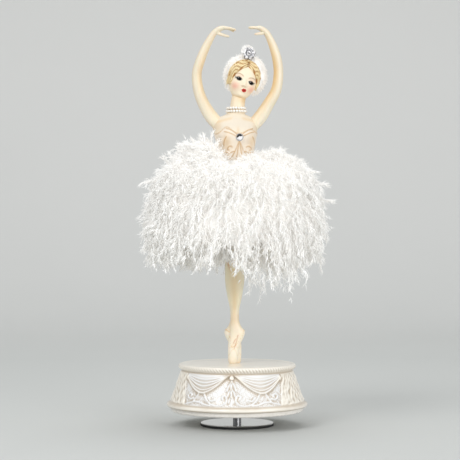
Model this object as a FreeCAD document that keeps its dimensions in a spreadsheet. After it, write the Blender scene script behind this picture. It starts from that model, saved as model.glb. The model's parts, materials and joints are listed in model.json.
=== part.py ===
import FreeCAD, Part
import math
import os

import Sketcher
from FreeCAD import Placement, Rotation, Vector

# Musical ballerina figurine. Origin at the centre of the foot's underside, +Z up, the dancer faces -Y.
# All lengths are in millimetres.

SIZES = {
    # Foot that stands on the table
    "foot_pad_radius": 25.0,
    "foot_pad_thickness": 1.0,
    "foot_disc_radius": 25.5,
    "foot_disc_thickness": 1.2,
    "foot_disc_rounding": 0.4,
    "hub_radius": 2.9,
    "hub_height": 6.2,
    "foot_gap": 8.2,
    # Winding shaft and fits
    "shaft_radius": 1.5,
    "spring_core_radius": 2.2,
    "thread_clearance": 0.03,
    "running_clearance": 0.05,
    "side_clearance": 0.25,
    # Bottom cover of the base
    "cover_step": 0.4,
    "cover_thickness": 3.1,
    "cover_rounding": 1.5,
    "cover_hole_radius": 5.0,
    # Cast shell of the base
    "shell_height": 29.1,
    "shell_wall": 3.2,
    "shell_top_thickness": 3.6,
    "seat_radius": 46.9,
    "flare_overhang": 2.5,
    "flare_height": 1.4,
    "flare_round": 2.2,
    "foot_line_overhang": 0.1,
    "foot_line_height": 3.6,
    "side_round": 120.0,
    "shoulder_inset": 3.5,
    "shoulder_height": 18.1,
    "shoulder_round": 8.0,
    "neck_inset": 6.8,
    "neck_height": 23.0,
    "rim_height": 24.6,
    "rim_edge_step": 0.5,
    "rim_round": 2.8,
    # Screws between cover and shell
    "boss_count": 3,
    "boss_angle": 70.0,
    "boss_inset": 6.4,
    "boss_radius": 2.8,
    "boss_height": 13.0,
    "cover_screw_radius": 1.0,
    "cover_screw_grip": 8.0,
    "screw_head_radius": 1.9,
    "screw_head_height": 1.1,
    # Bedplate of the movement
    "plate_stand_off": 2.0,
    "plate_thickness": 2.0,
    "plate_left": 20.0,
    "plate_margin": 2.0,
    "plate_front_margin": 0.8,
    "plate_corner_room": 2.5,
    "plate_foot_radius": 2.6,
    "plate_screw_radius": 0.9,
    "plate_screw_back": 13.0,
    "plate_screw_side": 16.0,
    "plate_screw_fore": 29.0,
    "post_thickness": 1.2,
    "post_gap": 0.5,
    "post_half_width": 2.2,
    "post_top_margin": 2.0,
    # Drive gear on the winding shaft and the pinion it turns
    "drive_module": 0.7,
    "drive_teeth": 36,
    "drive_face": 1.9,
    "drive_rim": 0.2,
    "drive_disc_thickness": 2.3,
    "drive_gap": 0.5,
    "pinion_teeth": 12,
    # Tooth proportions shared by all wheels
    "tooth_addendum": 0.8,
    "tooth_dedendum": 1.0,
    "tooth_sink": 0.5,
    "tooth_root_share": 0.5,
    "tooth_pitch_share": 0.38,
    "tooth_tip_share": 0.2,
    # Spring housing
    "housing_radius": 10.8,
    "housing_wall": 0.9,
    "housing_height": 8.0,
    "housing_lift": 0.4,
    "housing_post_circle": 17.0,
    "housing_post_radius": 1.9,
    "housing_arm_width": 3.8,
    "housing_screw_radius": 0.8,
    "housing_screw_grip": 1.2,
    # Mainspring
    "spring_strip": 0.3,
    "spring_height": 5.6,
    "spring_pitch": 0.8,
    "spring_half_turns": 16,
    "spring_clearance": 0.4,
    # Pinned cylinder
    "cylinder_radius": 6.5,
    "cylinder_length": 12.0,
    "cylinder_shell": 0.9,
    "cylinder_end": 1.0,
    "cylinder_gap": 0.6,
    "arbor_radius": 0.9,
    "pin_radius": 0.14,
    "pin_height": 0.35,
    "pins_each_track": 3,
    # Comb
    "comb_teeth": 18,
    "comb_pitch": 0.62,
    "comb_slot": 0.2,
    "comb_tooth_length": 8.0,
    "comb_tooth_thickness": 0.6,
    "comb_root_depth": 5.5,
    "comb_root_thickness": 1.4,
    "comb_clearance": 0.15,
    "comb_screw_radius": 0.8,
    "comb_screw_grip": 3.0,
    "comb_screw_head_radius": 1.5,
    # Wheels between cylinder and governor
    "train_module": 0.4,
    "cylinder_teeth": 36,
    "cylinder_gear_width": 1.4,
    "idler_teeth": 9,
    "idler_pinion_width": 1.8,
    "idler_arbor_radius": 0.6,
    "idler_post_gap": 0.4,
    "wheel_teeth": 24,
    "wheel_width": 1.1,
    "wheel_gap": 0.8,
    # Governor
    "worm_pitch_radius": 1.8,
    "worm_turns": 4.5,
    "worm_shaft_radius": 0.7,
    "worm_root_share": 0.46,
    "worm_tip_share": 0.18,
    "fan_radius": 3.2,
    "fan_height": 2.8,
    "fan_gap": 0.9,
    "fan_blade": 0.5,
    "fan_hub_radius": 1.4,
    "bracket_gap": 0.4,
    "bracket_thickness": 1.2,
    "bracket_width": 3.4,
    "bracket_arm": 1.0,
    "bracket_foot_length": 3.4,
    "bracket_screw_radius": 0.7,
    "bracket_screw_head_radius": 1.0,
    "bracket_screw_head_height": 0.8,
    # Armature of the figure
    "figure_offset": 1.7,
    "rod_radius": 1.0,
    "rod_rise": 76.0,
    "nut_flats": 4.0,
    "nut_height": 1.6,
    "washer_radius": 2.6,
    "washer_thickness": 0.5,
    "rod_end": 1.2,
    # Figure
    "hip_height": 117.4,
    "head_rise": 84.3,
    "head_shift": 5.4,
    "head_tilt": 14.0,
    "face_half_width": 9.4,
    "face_half_depth": 10.0,
    "face_half_height": 13.4,
    "hair_half_width": 11.2,
    "hair_half_depth": 10.6,
    "hair_half_height": 12.6,
    "hair_lift": 1.6,
    "hair_set_back": 2.2,
    "headdress_half_width": 15.4,
    "headdress_half_depth": 13.4,
    "headdress_half_height": 15.6,
    "headdress_front": 3.0,
    "headdress_drop": 10.0,
    "glue_gap": 0.1,
    "tiara_radius": 4.4,
    "tiara_thickness": 1.5,
    "tiara_rise": 16.6,
    "tiara_shift": 2.4,
    "tiara_pin_radius": 0.5,
    "tiara_pin_length": 1.0,
    "tiara_pin_drop": 1.6,
    "tiara_stone_radius": 1.3,
    "tiara_stone_count": 6,
    "choker_rise": 59.0,
    "choker_row_step": 1.9,
    "choker_radius": 7.2,
    "choker_shift": 0.9,
    "pearl_radius": 0.9,
    "pearl_gap": 0.12,
    # Crystal on the bodice
    "crystal_rise": 41.0,
    "crystal_shift": 1.7,
    "crystal_radius": 2.2,
    "crystal_crown": 1.2,
    "setting_wall": 0.5,
    "setting_floor": 0.5,
    "setting_depth": 1.6,
    "setting_reach": 12.3,
    # Tutu
    "band_radius": 14.0,
    "band_rise": 17.0,
    "band_height": 10.0,
    "row_gap": 0.3,
    "tutu_radius": 63.5,
    "tutu_shoulder_radius": 28.0,
    "tutu_crown_lift": 3.5,
    "plume_count": 20,
    "hem_lean": 7.0,
    "hem_lean_turn": -63.0,
    "upper_row_thickness": 3.0,
    "upper_row_drop": 56.0,
    "upper_row_share": 5.4,
    "lower_row_thickness": 3.5,
    "lower_row_drop": 90.0,
    "lower_row_flare": 1.6,
    "lower_row_tuck": 4.5,
    "lower_row_flare_drop": 9.0,
}

# Sections of the front leg from the toe to above the knee: height over the base's top, sideways and
# forward place of the centre from the figure's axis, half width and half depth.
FRONT_LEG = [
    (0.0, -1.2, -1.6, 2.4, 2.2),
    (1.4, -1.2, -1.7, 3.1, 2.7),
    (6.5, -1.0, -1.9, 3.6, 3.0),
    (13.0, -0.4, -2.0, 4.1, 3.2),
    (18.5, 1.3, -2.0, 5.0, 3.3),
    (22.5, 1.9, -2.1, 5.1, 3.2),
    (26.5, 0.5, -2.1, 3.7, 3.0),
    (32.0, -0.2, -2.1, 2.8, 2.8),
    (38.0, -0.2, -2.3, 3.1, 3.2),
    (46.0, -0.3, -3.0, 4.7, 4.8),
    (56.0, -0.5, -3.8, 6.1, 6.0),
    (64.0, -0.8, -4.2, 6.0, 6.0),
    (74.0, -1.6, -4.4, 5.6, 5.8),
]
# The back leg mirrors the front one and stands behind it. Both end in these thigh sections: height under
# the hip plane, sideways place, half width and half depth.
THIGHS = [
    (24.0, -4.2, 7.4, 7.4),
    (0.0, -6.4, 8.2, 8.6),
]
# Torso from the hip plane up to the top of the neck: height over the hip plane, sideways and forward place
# of the centre, half width and half depth.
TORSO = [
    (0.0, -1.7, 0.4, 15.4, 10.8),
    (8.0, -1.2, 0.5, 15.6, 11.2),
    (16.0, -0.5, 0.2, 12.9, 9.8),
    (23.0, 0.0, 0.0, 11.5, 8.9),
    (32.0, 0.3, -0.3, 12.3, 9.3),
    (41.0, 0.0, -1.2, 14.4, 10.5),
    (47.0, -0.6, -0.6, 15.4, 9.6),
    (52.0, -1.0, 0.2, 15.6, 8.2),
    (55.5, -1.2, 0.6, 11.4, 6.8),
    (58.0, -0.9, 0.8, 6.5, 5.6),
    (62.0, 0.2, 0.6, 5.2, 5.0),
    (71.0, 2.2, 0.2, 4.8, 4.8),
]
# Arms from inside the shoulder to the fingertips: sideways and forward place, height over the hip plane,
# half width in the plane of the arm and half depth.
LEFT_ARM = [
    (-11.0, 0.4, 48.5, 4.6, 4.6),
    (-18.0, 0.0, 56.0, 4.9, 4.7),
    (-23.5, -0.8, 65.0, 4.4, 4.4),
    (-27.0, -1.8, 74.5, 4.2, 4.2),
    (-28.3, -3.0, 85.5, 3.9, 3.9),
    (-25.8, -4.6, 94.5, 3.8, 3.7),
    (-21.8, -6.2, 104.0, 3.3, 3.2),
    (-17.2, -7.6, 112.0, 2.5, 2.6),
    (-12.6, -8.8, 116.2, 2.6, 3.1),
    (-7.2, -9.8, 117.6, 1.6, 2.7),
    (-3.2, -10.4, 117.0, 1.1, 1.8),
    (-0.9, -10.8, 116.4, 0.6, 0.9),
]
RIGHT_ARM = [
    (9.6, 0.4, 48.5, 4.6, 4.6),
    (16.3, 0.0, 56.0, 4.9, 4.7),
    (22.0, -0.8, 65.0, 4.4, 4.4),
    (27.2, -1.8, 74.5, 4.2, 4.2),
    (28.8, -3.0, 85.5, 3.9, 3.9),
    (27.7, -4.6, 95.0, 3.8, 3.7),
    (25.2, -6.2, 104.0, 3.3, 3.2),
    (21.8, -7.6, 112.2, 2.5, 2.6),
    (17.6, -8.8, 117.0, 2.6, 3.1),
    (13.2, -9.8, 119.2, 1.6, 2.7),
    (9.8, -10.4, 119.3, 1.1, 1.8),
    (7.9, -10.8, 119.0, 0.6, 0.9),
]
LEFT_THUMB = [
    (-14.2, -8.4, 114.2, 1.3, 1.3),
    (-10.0, -9.8, 113.4, 1.1, 1.1),
    (-5.6, -10.6, 112.6, 0.5, 0.5),
]
RIGHT_THUMB = [
    (18.8, -8.4, 115.2, 1.3, 1.3),
    (15.6, -9.8, 114.2, 1.1, 1.1),
    (11.9, -10.6, 113.4, 0.5, 0.5),
]

HOUSING_POST_ANGLES = (90.0, 180.0, 270.0)
GOLDEN_TURN = 137.508
SECTION_POINTS = 12
RIGHT_ANGLE = 90.0
HALF_TURN = 180.0
FULL_TURN = 360.0
UPRIGHT = Vector(0, 0, 1)
DIAGONAL = math.sqrt(2.0)
# How many half widths of a piece a cutting block spans, so that it passes the piece on every side.
CUT_SPAN = 3.0
ROUND_BACK_TO_FRONT = Rotation(Vector(1, 0, 0), RIGHT_ANGLE)
Z_ONTO_X = Rotation(Vector(0, 1, 0), RIGHT_ANGLE)
THROUGH = 2.0

doc = FreeCAD.newDocument("musical_ballerina")
sheet = doc.addObject("Spreadsheet::Sheet", "dims")
for row, (alias, number) in enumerate(SIZES.items(), start=1):
    sheet.set(f"A{row}", alias)
    sheet.set(f"B{row}", str(number))
    sheet.setAlias(f"B{row}", alias)
doc.recompute()


class Size:
    """A number together with the expression that gives it from the sheet."""

    def __init__(self, value, text):
        self.value = float(value)
        self.text = text

    def __add__(self, other):
        other = as_size(other)
        return Size(self.value + other.value, f"({self.text} + {other.text})")

    def __sub__(self, other):
        other = as_size(other)
        return Size(self.value - other.value, f"({self.text} - {other.text})")

    def __mul__(self, other):
        other = as_size(other)
        return Size(self.value * other.value, f"({self.text} * {other.text})")

    def __truediv__(self, other):
        other = as_size(other)
        return Size(self.value / other.value, f"({self.text} / {other.text})")

    def __neg__(self):
        return Size(-self.value, f"(0 - {self.text})")

    def __radd__(self, other):
        return as_size(other) + self

    def __rsub__(self, other):
        return as_size(other) - self

    def __rmul__(self, other):
        return as_size(other) * self

    def __rtruediv__(self, other):
        return as_size(other) / self


def as_size(number):
    """A plain number as a size."""
    return number if isinstance(number, Size) else Size(number, repr(float(number)))


class Dimensions:
    """The sheet's cells by alias."""

    def __getattr__(self, alias):
        return Size(sheet.get(alias), f"dims.{alias}")


dim = Dimensions()
subparts = []


def bind(obj, prop, size):
    """Give a property the size, tied to the sheet."""
    obj.setExpression(prop, as_size(size).text)


def place(obj, across=0.0, along=0.0, up=0.0, turn=None):
    """Put an object at a point tied to the sheet, turned first."""
    obj.Placement = Placement(Vector(), turn or Rotation())
    for axis, size in (("x", across), ("y", along), ("z", up)):
        bind(obj, f"Placement.Base.{axis}", size)
    return obj


def keep(obj, label):
    """Name a finished sub-part."""
    obj.Label = label
    subparts.append(obj)
    return obj


def cylinder(name, radius, height, across=0.0, along=0.0, up=0.0, turn=None):
    obj = doc.addObject("Part::Cylinder", name)
    bind(obj, "Radius", radius)
    bind(obj, "Height", height)
    return place(obj, across, along, up, turn)


def box(name, length, width, height, across=0.0, along=0.0, up=0.0, turn=None):
    obj = doc.addObject("Part::Box", name)
    bind(obj, "Length", length)
    bind(obj, "Width", width)
    bind(obj, "Height", height)
    return place(obj, across, along, up, turn)


def sphere(name, radius, across, along, up):
    obj = doc.addObject("Part::Sphere", name)
    bind(obj, "Radius", radius)
    return place(obj, across, along, up)


def ellipsoid(name, half_width, half_depth, half_height, across, along, up, turn):
    obj = doc.addObject("Part::Ellipsoid", name)
    bind(obj, "Radius1", half_height)
    bind(obj, "Radius2", half_width)
    bind(obj, "Radius3", half_depth)
    obj.Angle1 = -RIGHT_ANGLE
    obj.Angle2 = RIGHT_ANGLE
    obj.Angle3 = FULL_TURN
    return place(obj, across, along, up, turn)


def fused(name, members):
    obj = doc.addObject("Part::MultiFuse", name)
    obj.Shapes = members
    obj.Refine = False
    return obj


def drilled(name, base, tools):
    """The base less the tools."""
    obj = doc.addObject("Part::Cut", name)
    obj.Base = base
    obj.Refine = False
    obj.Tool = tools[0] if len(tools) == 1 else fused(name + "_tools", tools)
    return obj


def overlap(name, one, other):
    """What two solids share."""
    obj = doc.addObject("Part::Common", name)
    obj.Base = one
    obj.Tool = other
    obj.Refine = False
    return obj


def grouped(name, members):
    """Separate like solids in one node."""
    obj = doc.addObject("Part::Compound", name)
    obj.Links = members
    return obj


def new_body(name):
    return doc.addObject("PartDesign::Body", name)


def origin_part(body, role):
    return next(item for item in body.Origin.OriginFeatures if item.Role == role)


def arc_between(start, end, radius):
    """The shorter arc between two points; a positive radius turns left, a negative one right."""
    first, last = (start, end) if radius > 0 else (end, start)
    chord = last - first
    half = chord.Length / 2
    to_centre = Vector(-chord.y, chord.x, 0).normalize() * math.sqrt(radius ** 2 - half ** 2)
    centre = first + chord / 2 + to_centre
    begin = math.atan2(first.y - centre.y, first.x - centre.x)
    stop = math.atan2(last.y - centre.y, last.x - centre.x)
    circle = Part.Circle(centre, UPRIGHT, abs(radius))
    return Part.ArcOfCircle(circle, begin, stop if stop > begin else stop + 2 * math.pi)


def outline(body, name, role, points, lift=None, turn=None):
    """A closed sketch. Each item is (across, up), or (across, up, radius) if an arc leads to it."""
    sketch = body.newObject("Sketcher::SketchObject", name)
    sketch.AttachmentSupport = [(origin_part(body, role), "")]
    sketch.MapMode = "FlatFace"
    if turn is not None:
        sketch.AttachmentOffset = Placement(Vector(), Rotation(UPRIGHT, as_size(turn).value))
        bind(sketch, "AttachmentOffset.Rotation.Angle", turn)
    if lift is not None:
        bind(sketch, "AttachmentOffset.Base.z", lift)
    places = [Vector(as_size(item[0]).value, as_size(item[1]).value, 0) for item in points]
    ends = []
    for index, item in enumerate(points):
        start = places[index - 1]
        end = places[index]
        radius = as_size(item[2]) if len(item) > 2 else None
        if radius is None:
            edge = sketch.addGeometry(Part.LineSegment(start, end))
            ends.append((edge, 1, 2))
            continue
        edge = sketch.addGeometry(arc_between(start, end, radius.value))
        ends.append((edge, 1, 2) if radius.value > 0 else (edge, 2, 1))
        length = radius if radius.value > 0 else -radius
        number = sketch.addConstraint(Sketcher.Constraint("Radius", edge, length.value))
        bind(sketch, f"Constraints[{number}]", length)
    for index, item in enumerate(points):
        edge, _, last = ends[index]
        following = ends[(index + 1) % len(ends)]
        sketch.addConstraint(Sketcher.Constraint("Coincident", edge, last, following[0], following[1]))
        for kind, axis, size in (("DistanceX", -2, item[0]), ("DistanceY", -1, item[1])):
            if not isinstance(size, Size) and size == 0:
                sketch.addConstraint(Sketcher.Constraint("PointOnObject", edge, last, axis))
                continue
            number = sketch.addConstraint(Sketcher.Constraint(kind, -1, 1, edge, last, as_size(size).value))
            bind(sketch, f"Constraints[{number}]", size)
    return sketch


def revolved(name, points):
    """A body turned from an outline of (radius, height) points about its own Z axis."""
    body = new_body(name)
    sketch = outline(body, name + "_outline", "XZ_Plane", points)
    turn = body.newObject("PartDesign::Revolution", name + "_turn")
    turn.Profile = sketch
    turn.ReferenceAxis = (sketch, ["V_Axis"])
    turn.Angle = FULL_TURN
    return body


def ring(name, inner, outer, bottom, top):
    return revolved(name, [(inner, bottom), (outer, bottom), (outer, top), (inner, top)])


def padded(body, name, sketch, length):
    pad = body.newObject("PartDesign::Pad", name)
    pad.Profile = sketch
    bind(pad, "Length", length)
    return pad


def patterned(body, feature, count):
    """Repeat a feature evenly about the body's Z axis."""
    pattern = body.newObject("PartDesign::PolarPattern", feature.Name + "_pattern")
    pattern.Originals = [feature]
    pattern.Axis = (origin_part(body, "Z_Axis"), [""])
    pattern.Angle = FULL_TURN
    bind(pattern, "Occurrences", count)
    body.Tip = pattern
    return pattern


def tooth_outline(pitch_radius, module):
    """Half outlines of a tooth: radius and half thickness below the root, at the pitch line and at the tip."""
    pitch = module * math.pi
    inside = pitch_radius - module * (dim.tooth_dedendum + dim.tooth_sink)
    tip = pitch_radius + module * dim.tooth_addendum
    half_root = pitch * dim.tooth_root_share / 2
    half_pitch = pitch * dim.tooth_pitch_share / 2
    half_tip = pitch * dim.tooth_tip_share / 2
    return [
        (inside, -half_root),
        (pitch_radius, -half_pitch),
        (tip, -half_tip),
        (tip, half_tip),
        (pitch_radius, half_pitch),
        (inside, half_root),
    ]


def spur_gear(name, module, teeth, width, bore, first_tooth):
    """A toothed wheel on the Z axis, from zero up to its width, with a tooth at the first angle."""
    pitch_radius = module * teeth / 2
    root = pitch_radius - module * dim.tooth_dedendum
    body = ring(name, bore, root, 0, width)
    sketch = outline(body, name + "_tooth", "XY_Plane", tooth_outline(pitch_radius, module), turn=first_tooth)
    tooth = padded(body, name + "_tooth_pad", sketch, width)
    patterned(body, tooth, teeth)
    return body


def section(centre, side, fore, half_width, half_depth):
    """A closed smooth oval wire round a centre."""
    points = []
    for index in range(SECTION_POINTS):
        angle = 2 * math.pi * index / SECTION_POINTS
        points.append(centre + side * (half_width * math.cos(angle)) + fore * (half_depth * math.sin(angle)))
    curve = Part.BSplineCurve()
    curve.interpolate(points, PeriodicFlag=True)
    return Part.Wire([curve.toShape()])


def level_loft(sections):
    """A solid through level ovals, each (height, across, along, half width, half depth)."""
    wires = []
    for height, across, along, half_width, half_depth in sections:
        centre = Vector(across, along, height)
        wires.append(section(centre, Vector(1, 0, 0), Vector(0, 1, 0), half_width, half_depth))
    return Part.makeLoft(wires, True, False)


def limb(sections):
    """A solid along a path of (across, along, up, half width, half depth) ovals square to the path."""
    centres = [Vector(*item[:3]) for item in sections]
    wires = []
    for index, item in enumerate(sections):
        before = centres[max(index - 1, 0)]
        after = centres[min(index + 1, len(centres) - 1)]
        heading = (after - before).normalize()
        side = Vector(0, 1, 0).cross(heading).normalize()
        wires.append(section(centres[index], side, heading.cross(side), item[3], item[4]))
    return Part.makeLoft(wires, True, False)


def shaped(name, shape, across=0.0, along=0.0, up=0.0):
    obj = doc.addObject("Part::Feature", name)
    obj.Shape = shape
    return place(obj, across, along, up)


def polar(radius, angle):
    """Point at a radius and an angle in degrees, both of which may be sizes."""
    radius = as_size(radius)
    angle = as_size(angle)
    turn = math.radians(angle.value)
    across = Size(radius.value * math.cos(turn), f"({radius.text} * cos({angle.text} * 1 deg))")
    along = Size(radius.value * math.sin(turn), f"({radius.text} * sin({angle.text} * 1 deg))")
    return across, along


# Heights and places that several pieces share
disc_bottom = dim.foot_pad_thickness
disc_top = disc_bottom + dim.foot_disc_thickness
cover_bottom = disc_top + dim.foot_gap
shell_bottom = cover_bottom + dim.cover_thickness
base_top = shell_bottom + dim.shell_height
top_underside = base_top - dim.shell_top_thickness
plate_bottom = shell_bottom + dim.plate_stand_off
plate_top = plate_bottom + dim.plate_thickness
gear_bottom = plate_top + dim.drive_gap
gear_face = gear_bottom + dim.drive_disc_thickness
drive_radius = dim.drive_module * dim.drive_teeth / 2
drive_pitch_plane = gear_face + dim.drive_module * dim.tooth_dedendum
drive_tip_plane = drive_pitch_plane + dim.drive_module * dim.tooth_addendum
gear_inner = drive_radius - dim.drive_face / 2
gear_outer = drive_radius + dim.drive_face / 2 + dim.drive_rim
pinion_radius = dim.drive_module * dim.pinion_teeth / 2
axis_height = drive_pitch_plane + pinion_radius
housing_bottom = drive_tip_plane + dim.housing_lift
housing_top = housing_bottom + dim.housing_height
inner_post = gear_outer + dim.post_gap
cylinder_start = inner_post + dim.post_thickness + dim.cylinder_gap
cylinder_end = cylinder_start + dim.cylinder_length
gear_start = cylinder_end
gear_end = gear_start + dim.cylinder_gear_width
outer_post = gear_end + dim.post_gap
outer_post_end = outer_post + dim.post_thickness
idler_along = dim.train_module * (dim.cylinder_teeth + dim.idler_teeth) / 2
idler_start = gear_start + (dim.cylinder_gear_width - dim.idler_pinion_width) / 2
idler_post = idler_start - dim.idler_post_gap - dim.post_thickness
wheel_start = gear_end + dim.wheel_gap
wheel_middle = wheel_start + dim.wheel_width / 2
wheel_end = wheel_start + dim.wheel_width
idler_outer_post = wheel_end + dim.idler_post_gap
idler_end = idler_outer_post + dim.post_thickness
wheel_radius = dim.train_module * dim.wheel_teeth / 2
worm_along = idler_along + wheel_radius + dim.worm_pitch_radius
worm_lead = dim.train_module * math.pi
worm_half_length = worm_lead * dim.worm_turns / 2
fan_bottom = axis_height + worm_half_length + dim.fan_gap
fan_top = fan_bottom + dim.fan_height
bracket_inner = worm_along + dim.fan_radius + dim.bracket_gap
bracket_outer = bracket_inner + dim.bracket_thickness
arm_bottom = fan_top + dim.bracket_gap
arm_top = arm_bottom + dim.bracket_arm
comb_tip = dim.cylinder_radius + dim.pin_height + dim.comb_clearance
comb_root = comb_tip + dim.comb_tooth_length
comb_back = comb_root + dim.comb_root_depth
comb_width = dim.comb_teeth * dim.comb_pitch
comb_start = cylinder_start + (dim.cylinder_length - comb_width) / 2
comb_bottom = axis_height - dim.comb_root_thickness
plate_right = idler_end + dim.plate_margin
plate_front = comb_back + dim.plate_front_margin
plate_back = bracket_outer + dim.plate_front_margin
hip = base_top + dim.hip_height
head_up = hip + dim.head_rise
figure_x = -dim.figure_offset


def make_foot():
    """Pad, chromed disc and the hub that screws onto the winding shaft."""
    keep(cylinder("pad", dim.foot_pad_radius, dim.foot_pad_thickness), "foot_pad")
    radius = dim.foot_disc_radius
    rounding = dim.foot_disc_rounding
    disc = revolved("disc", [
        (0, disc_bottom),
        (radius, disc_bottom),
        (radius, disc_top - rounding),
        (radius - rounding, disc_top, rounding),
        (0, disc_top),
    ])
    keep(disc, "foot_disc")
    hub = ring("hub", dim.shaft_radius + dim.thread_clearance, dim.hub_radius, disc_top, disc_top + dim.hub_height)
    keep(hub, "foot_hub")


def make_shaft_and_drive_gear():
    """Winding shaft with its spring core, and the crown wheel fixed on it."""
    core_bottom = gear_face
    core_top = housing_top - dim.housing_wall - dim.spring_clearance
    shaft = revolved("shaft", [
        (0, disc_top),
        (dim.shaft_radius, disc_top),
        (dim.shaft_radius, core_bottom),
        (dim.spring_core_radius, core_bottom),
        (dim.spring_core_radius, core_top),
        (dim.shaft_radius, core_top),
        (dim.shaft_radius, housing_top + dim.spring_clearance),
        (0, housing_top + dim.spring_clearance),
    ])
    keep(shaft, "winding_shaft")
    gear = ring("crown", dim.shaft_radius + dim.thread_clearance, gear_outer, gear_bottom, gear_face)
    pitch = dim.drive_module * math.pi
    half_root = pitch * dim.tooth_root_share / 2
    half_pitch = pitch * dim.tooth_pitch_share / 2
    half_tip = pitch * dim.tooth_tip_share / 2
    below = gear_face - dim.drive_module / 2
    sketch = outline(gear, "crown_tooth", "YZ_Plane", [
        (-half_root, below),
        (half_root, below),
        (half_pitch, drive_pitch_plane),
        (half_tip, drive_tip_plane),
        (-half_tip, drive_tip_plane),
        (-half_pitch, drive_pitch_plane),
    ], lift=gear_inner)
    tooth = padded(gear, "crown_tooth_pad", sketch, dim.drive_face)
    patterned(gear, tooth, dim.drive_teeth)
    half_step = Rotation(UPRIGHT, HALF_TURN / dim.drive_teeth.value)
    gear.Placement = Placement(Vector(), half_step)
    bind(gear, "Placement.Rotation.Angle", HALF_TURN / dim.drive_teeth)
    keep(gear, "drive_gear")


def boss_places():
    circle = dim.seat_radius - dim.boss_inset
    count = int(dim.boss_count.value)
    return [polar(circle, dim.boss_angle + FULL_TURN * index / dim.boss_count) for index in range(count)]


def plate_screw_places():
    return [
        (-dim.plate_screw_back, dim.plate_screw_side),
        (-dim.plate_screw_back, -dim.plate_screw_side),
        (dim.plate_screw_fore, -dim.plate_screw_side),
    ]


def make_base():
    """Bottom cover, cast shell and the screws between them."""
    radius = dim.seat_radius - dim.cover_step
    rounding = dim.cover_rounding
    disc = revolved("cover_disc", [
        (dim.cover_hole_radius, cover_bottom),
        (radius - rounding, cover_bottom),
        (radius, cover_bottom + rounding, rounding),
        (radius, shell_bottom),
        (dim.cover_hole_radius, shell_bottom),
    ])
    head_room = dim.screw_head_height + dim.thread_clearance
    holes = []
    for radius, places in ((dim.cover_screw_radius, boss_places()), (dim.plate_screw_radius, plate_screw_places())):
        for across, along in places:
            bore = radius + dim.thread_clearance
            head = dim.screw_head_radius + dim.thread_clearance
            holes.append(cylinder("cover_bore", bore, dim.cover_thickness, across, along, cover_bottom))
            holes.append(cylinder("cover_sink", head, head_room, across, along, cover_bottom))
    keep(drilled("cover", disc, holes), "base_cover")

    shoulder_radius = dim.seat_radius - dim.shoulder_inset
    neck_radius = dim.seat_radius - dim.neck_inset
    inner_seat = dim.seat_radius - dim.shell_wall
    inner_shoulder = shoulder_radius - dim.shell_wall
    inner_neck = neck_radius - dim.shell_wall
    turned = revolved("shell_turned", [
        (dim.seat_radius, shell_bottom),
        (dim.seat_radius + dim.flare_overhang, shell_bottom + dim.flare_height, dim.flare_round),
        (dim.seat_radius + dim.foot_line_overhang, shell_bottom + dim.foot_line_height, dim.flare_round),
        (shoulder_radius, shell_bottom + dim.shoulder_height, dim.side_round),
        (neck_radius, shell_bottom + dim.neck_height, dim.shoulder_round),
        (neck_radius, shell_bottom + dim.rim_height),
        (neck_radius - dim.rim_edge_step, base_top, dim.rim_round),
        (0, base_top),
        (0, top_underside),
        (inner_neck, top_underside),
        (inner_neck, shell_bottom + dim.neck_height),
        (inner_shoulder, shell_bottom + dim.shoulder_height),
        (inner_seat, shell_bottom),
    ])
    bosses = [turned]
    holes = [cylinder("rod_hole", dim.rod_radius + dim.running_clearance, dim.shell_top_thickness + THROUGH,
                      figure_x, 0.0, top_underside - THROUGH / 2)]
    screws = []
    for across, along in boss_places():
        bosses.append(cylinder("boss", dim.boss_radius, dim.boss_height, across, along, shell_bottom))
        depth = dim.cover_screw_grip + dim.cover_screw_radius
        bore = dim.cover_screw_radius + dim.thread_clearance
        holes.append(cylinder("boss_bore", bore, depth, across, along, shell_bottom))
        screws.append(screw("cover_screw", across, along, cover_bottom, dim.cover_screw_radius,
                            dim.cover_thickness + dim.cover_screw_grip, dim.screw_head_radius,
                            dim.screw_head_height))
    keep(drilled("shell", fused("shell_with_bosses", bosses), holes), "base_shell")
    keep(grouped("cover_screw_group", screws), "cover_screws")


def screw(name, across, along, up, radius, length, head_radius, head_height, head_below=True):
    """A screw with its head at one end; the length counts the head where that is sunk below."""
    shank = cylinder(name + "_shank", radius, length, across, along, up)
    head_up = up if head_below else up + length
    head = cylinder(name + "_head", head_radius, head_height, across, along, head_up)
    return fused(name, [shank, head])


def bearing_post(name, start, along_low, along_high, top):
    """An upright plate that carries an arbor."""
    return box(name, dim.post_thickness, along_high - along_low, top - plate_bottom, start, along_low, plate_bottom)


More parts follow.
